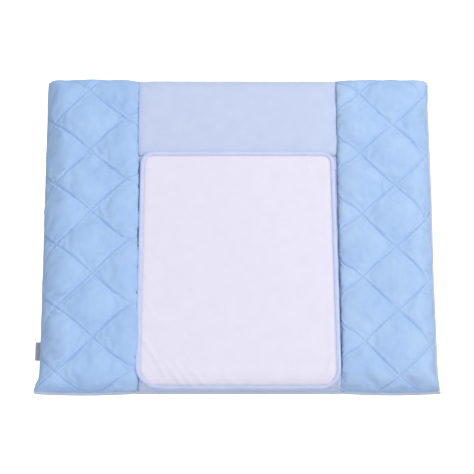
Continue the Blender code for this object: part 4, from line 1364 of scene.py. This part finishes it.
def build_binding_stitches():
    """One row of stitches near the binding's inner edge."""
    x, along, nx, ny, _ = towel_outline(1400)
    out = -BINDING_WIDTH + 0.0012
    px, py = x + nx * out, along + ny * out
    lift = towel_wave(px, py)
    path = towel_place(px, py, TOWEL_THICK + 0.0008 + lift)
    higher = towel_place(px, py, TOWEL_THICK + 0.0018 + lift)
    ups = (higher - path) / np.linalg.norm(higher - path, axis=1, keepdims=True)
    run = stitch_dashes(path, ups, 0.0028, 0.0010, STITCH_RADIUS)
    joined_dashes("towel_binding_stitches", [run], "white_thread", "binding_tape", "towel")


def build_towel():
    build_towel_layer("towel_terry", "towel_face", TERRY_LOW, TOWEL_THICK, "terry")
    build_towel_layer("towel_lining", "towel_backing", 0.0, TOWEL_LINING, "backing_film")
    build_binding()


# ---- label, snap tabs and zip ----------------------------------------------------------


LABEL_SKIN = 0.00045


def build_label():
    """A short ribbon folded in half, its cut ends in the left edge seam."""
    low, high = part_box("side_label")
    start = -side_line("left", (low.y + high.y) / 2) + 0.0025
    reach = start - (low.x + 0.0012)
    width = np.linspace(low.y, high.y, 25)
    turn = np.linspace(-np.pi / 2, np.pi / 2, 9)
    middle = (low.z + high.z) / 2
    half = (high.z - low.z) / 2 - 0.0001
    flat = np.arange(7) / 7
    fold = reach - half
    outline_x = np.concatenate([flat * fold, fold + half * np.cos(turn), (flat * fold)[::-1]])
    outline_z = np.concatenate([np.full(7, -half), half * np.sin(turn), np.full(7, half)])
    shrink = 1 - LABEL_SKIN / half
    inner_x = np.minimum(outline_x, fold + (outline_x - fold) * shrink)
    y, ox, oz, ix = np.broadcast_arrays(width[:, None], outline_x, outline_z, inner_x)
    share = (y - low.y) / (high.y - low.y)
    curl = 0.0012 * (ox / reach) ** 2 * (0.4 + 0.6 * np.sin(np.pi * share * 0.9 + 0.4))
    outer = np.stack([start - ox, y, middle + oz + curl], axis=-1)
    inner = np.stack([start - ix, y, middle + oz * shrink + curl], axis=-1)
    label = sheet("folded_side_label", outer, inner)
    dress(label, "label_tape", "left_wing", "side_label", (ox, y))


def build_tab(place):
    """A small folded tab of the plain fabric, sewn down beside the side seam at one end."""
    node = f"snap_tab_{place}"
    low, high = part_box(node)
    sign = 1 if high.x > 0 else -1
    inner_x = low.x if sign > 0 else high.x
    outer_x = sign * (SEAM_X - 0.0062)
    s, t = np.meshgrid(np.linspace(0, 1, 25), np.linspace(0, 1, 17), indexing="ij")
    x = outer_x + (inner_x - outer_x) * s
    round_end = np.sqrt(np.clip(1 - np.clip((s - 0.72) / 0.28, 0, 1) ** 2 * 0.55, 0, 1))
    y = (low.y + high.y) / 2 + (t - 0.5) * (high.y - low.y) * round_end
    climb = VALLEY_Z + (CENTRE_CROWN - VALLEY_Z) * np.sqrt(
        1 - (1 - np.clip((SEAM_X - np.abs(x)) / CENTRE_SHOULDER, 0, 1)) ** 2
    )
    under = climb + 0.0006
    rim = np.clip(np.minimum(t, 1 - t) / 0.09, 0, 1) * np.clip((1 - s) / 0.06, 0, 1)
    over = np.minimum(under + 0.0006 + 0.0010 * smooth(s / 0.4) * np.sqrt(rim), high.z)
    over = np.where((s > 0.3) & (rim >= 1), np.maximum(over, high.z - 0.0002), over)
    points = np.stack([x, y, over], axis=-1)
    inner = np.stack([x, y, np.minimum(under, over - 0.0004)], axis=-1)
    tab = sheet(f"{place}_towel_tab", points, inner, flip=sign > 0)
    dress(tab, "plain_fabric", "centre", node, (x, y))


def build_zip_tape(end):
    node = f"zip_{end}_tape"
    low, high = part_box(node)
    x, t = np.meshgrid(np.linspace(low.x, high.x, 260), np.linspace(0, 1, 12), indexing="ij")
    y = low.y + (high.y - low.y) * t
    lie = 0.00012 * ripple(x / 0.03, 7)
    half = (high.z - low.z) / 2
    rim = 0.35 + 0.65 * np.sqrt(np.clip(np.minimum(t, 1 - t) / 0.09, 0, 1))
    middle = (low.z + high.z) / 2 + lie
    upper, lower = (np.stack([x, y, middle + sign * half * rim], axis=-1) for sign in (1, -1))
    dress(sheet(f"{end}_zip_ribbon", upper, lower), "zip_tape", "centre", node, (x, y))


COIL_WIRE = 0.00030
COIL_PITCH = 0.0019


def build_zip_coil(end, phase):
    """A plastic coil: one flattened turn of wire for each tooth."""
    node = f"zip_{end}_coil"
    low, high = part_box(node)
    wire = COIL_WIRE
    turns = (high.x - low.x - 2 * wire) / COIL_PITCH
    count = int(turns * 12)
    t = np.linspace(0, turns, count)
    angle = 2 * np.pi * t + phase
    y = (low.y + high.y) / 2 + ((high.y - low.y) / 2 - wire) * np.cos(angle)
    z = (low.z + high.z) / 2 + ((high.z - low.z) / 2 - wire) * np.sin(angle)
    path = np.stack([low.x + wire + COIL_PITCH * t, y, z], axis=-1)
    ups = np.tile([1.0, 0.0, 0.0], (count, 1))
    coil = swept_tube(f"{end}_zip_teeth", path, ups, wire, wire, steps=6)
    dress(coil, "zip_coil", "centre", node)


def build_small_parts():
    build_label()
    for end in ("front", "rear"):
        build_zip_tape(end)
        build_zip_coil(end, 0.0 if end == "front" else np.pi)
        for side in ("left", "right"):
            build_tab(f"{end}_{side}")


def dress_frame_nodes():
    """Materials, and softened edges on the zip metal and snap plastic, for the nodes that stay as they are.
    """
    slots = {part["node"]: part["material_slot"] for part in frame["record"]["subparts"]}
    for name, obj in frame["nodes"].items():
        slot = slots[name]
        paint(obj, MATERIALS.get(slot, MATERIALS["velour_right"]))
        if slot in ("zip_metal", "snap_plastic"):
            bevel = obj.modifiers.new("soft_edges", "BEVEL")
            bevel.width = 0.00016
            bevel.segments = 2
            bevel.limit_method = "ANGLE"
            bevel.angle_limit = np.radians(35)


# ---- stage -----------------------------------------------------------------------------

SKY_DIRECTION = (0.20, 0.10, 0.975)
SKY_LOW, SKY_HIGH = 0.36, 0.965
SKY_SEEN = 1.2
FLOOR_Z = -0.0015
# Name, place, size, power and colour. The last one lights the underside through the floor.
LIGHTS = (
    ("key", (1.5, 0.75, 2.2), 1.2, 26.0, (1.0, 0.99, 0.98)),
    ("front_fill", (-0.5, -2.6, 0.8), 2.0, 16.0, (1.0, 0.99, 0.98)),
    ("under_fill", (0.4, -0.8, -2.4), 2.5, 55.0, (1.0, 1.0, 1.0)),
)


def build_stage():
    size = 6.0
    corners = [(-size, -size, 0), (size, -size, 0), (size, size, 0), (-size, size, 0)]
    floor = mesh_object("floor", np.array(corners) + [0, 0, FLOOR_Z], [[(0, 1, 2, 3)]])
    paint(floor, floor_material())
    build_world()
    for light in LIGHTS:
        add_light(*light)


def build_world():
    """Soft daylight from above that fades towards the front and the floor. It looks plain white."""
    world = bpy.data.worlds.new("studio")
    bpy.context.scene.world = world
    world.use_nodes = True
    tree = world.node_tree
    place = tree.nodes.new("ShaderNodeTexCoord")
    towards = tree.nodes.new("ShaderNodeVectorMath")
    towards.operation = "DOT_PRODUCT"
    towards.inputs[1].default_value = SKY_DIRECTION
    strength = tree.nodes.new("ShaderNodeMapRange")
    span = {"From Min": -0.2, "From Max": 1.0, "To Min": SKY_LOW, "To Max": SKY_HIGH}
    for key, value in span.items():
        strength.inputs[key].default_value = value
    seen = tree.nodes.new("ShaderNodeLightPath")
    level = tree.nodes.new("ShaderNodeMix")
    level.inputs["B"].default_value = SKY_SEEN
    background = tree.nodes["Background"]
    background.inputs["Color"].default_value = (0.98, 0.99, 1.0, 1.0)
    tree.links.new(place.outputs["Generated"], towards.inputs[0])
    tree.links.new(towards.outputs["Value"], strength.inputs["Value"])
    tree.links.new(seen.outputs["Is Camera Ray"], level.inputs["Factor"])
    tree.links.new(strength.outputs["Result"], level.inputs["A"])
    tree.links.new(level.outputs["Result"], background.inputs["Strength"])


def add_light(name, place, size, power, colour):
    light = bpy.data.lights.new(name, "AREA")
    light.shape = "SQUARE"
    light.size = size
    light.energy = power
    light.color = colour
    obj = bpy.data.objects.new(name, light)
    bpy.context.scene.collection.objects.link(obj)
    obj.location = place
    obj.rotation_euler = (-Vector(place)).to_track_quat("-Z", "Y").to_euler()


ELEVATION, TURN, ROLL = np.radians((63.8, 1.14, 1.02))
CAMERA_DISTANCE = 5.542
LENS = 194.5
# How far the picture's middle is off the lens's axis, as shares of the picture's width
SHIFT = (-0.002173, -0.003207)


def place_camera():
    forward = Vector(
        (np.sin(TURN) * np.cos(ELEVATION), np.cos(TURN) * np.cos(ELEVATION), -np.sin(ELEVATION))
    )
    data = bpy.data.cameras.new("camera")
    data.lens = LENS
    data.sensor_width = 36.0
    data.shift_x, data.shift_y = SHIFT
    camera = bpy.data.objects.new("camera", data)
    bpy.context.scene.collection.objects.link(camera)
    camera.location = -forward * CAMERA_DISTANCE
    camera.rotation_euler = forward.to_track_quat("-Z", "Y").to_euler()
    camera.rotation_euler.rotate_axis("Z", ROLL)
    bpy.context.scene.camera = camera
    bpy.context.scene.view_settings.view_transform = "Standard"


dress_frame_nodes()
for wing in (LEFT_WING, RIGHT_WING):
    build_quilted_side(wing.side, wing)
build_centre()
build_backs()
build_walls()
build_edge_seams()
build_fold_webs()
build_towel()
build_small_parts()
build_stage()
place_camera()
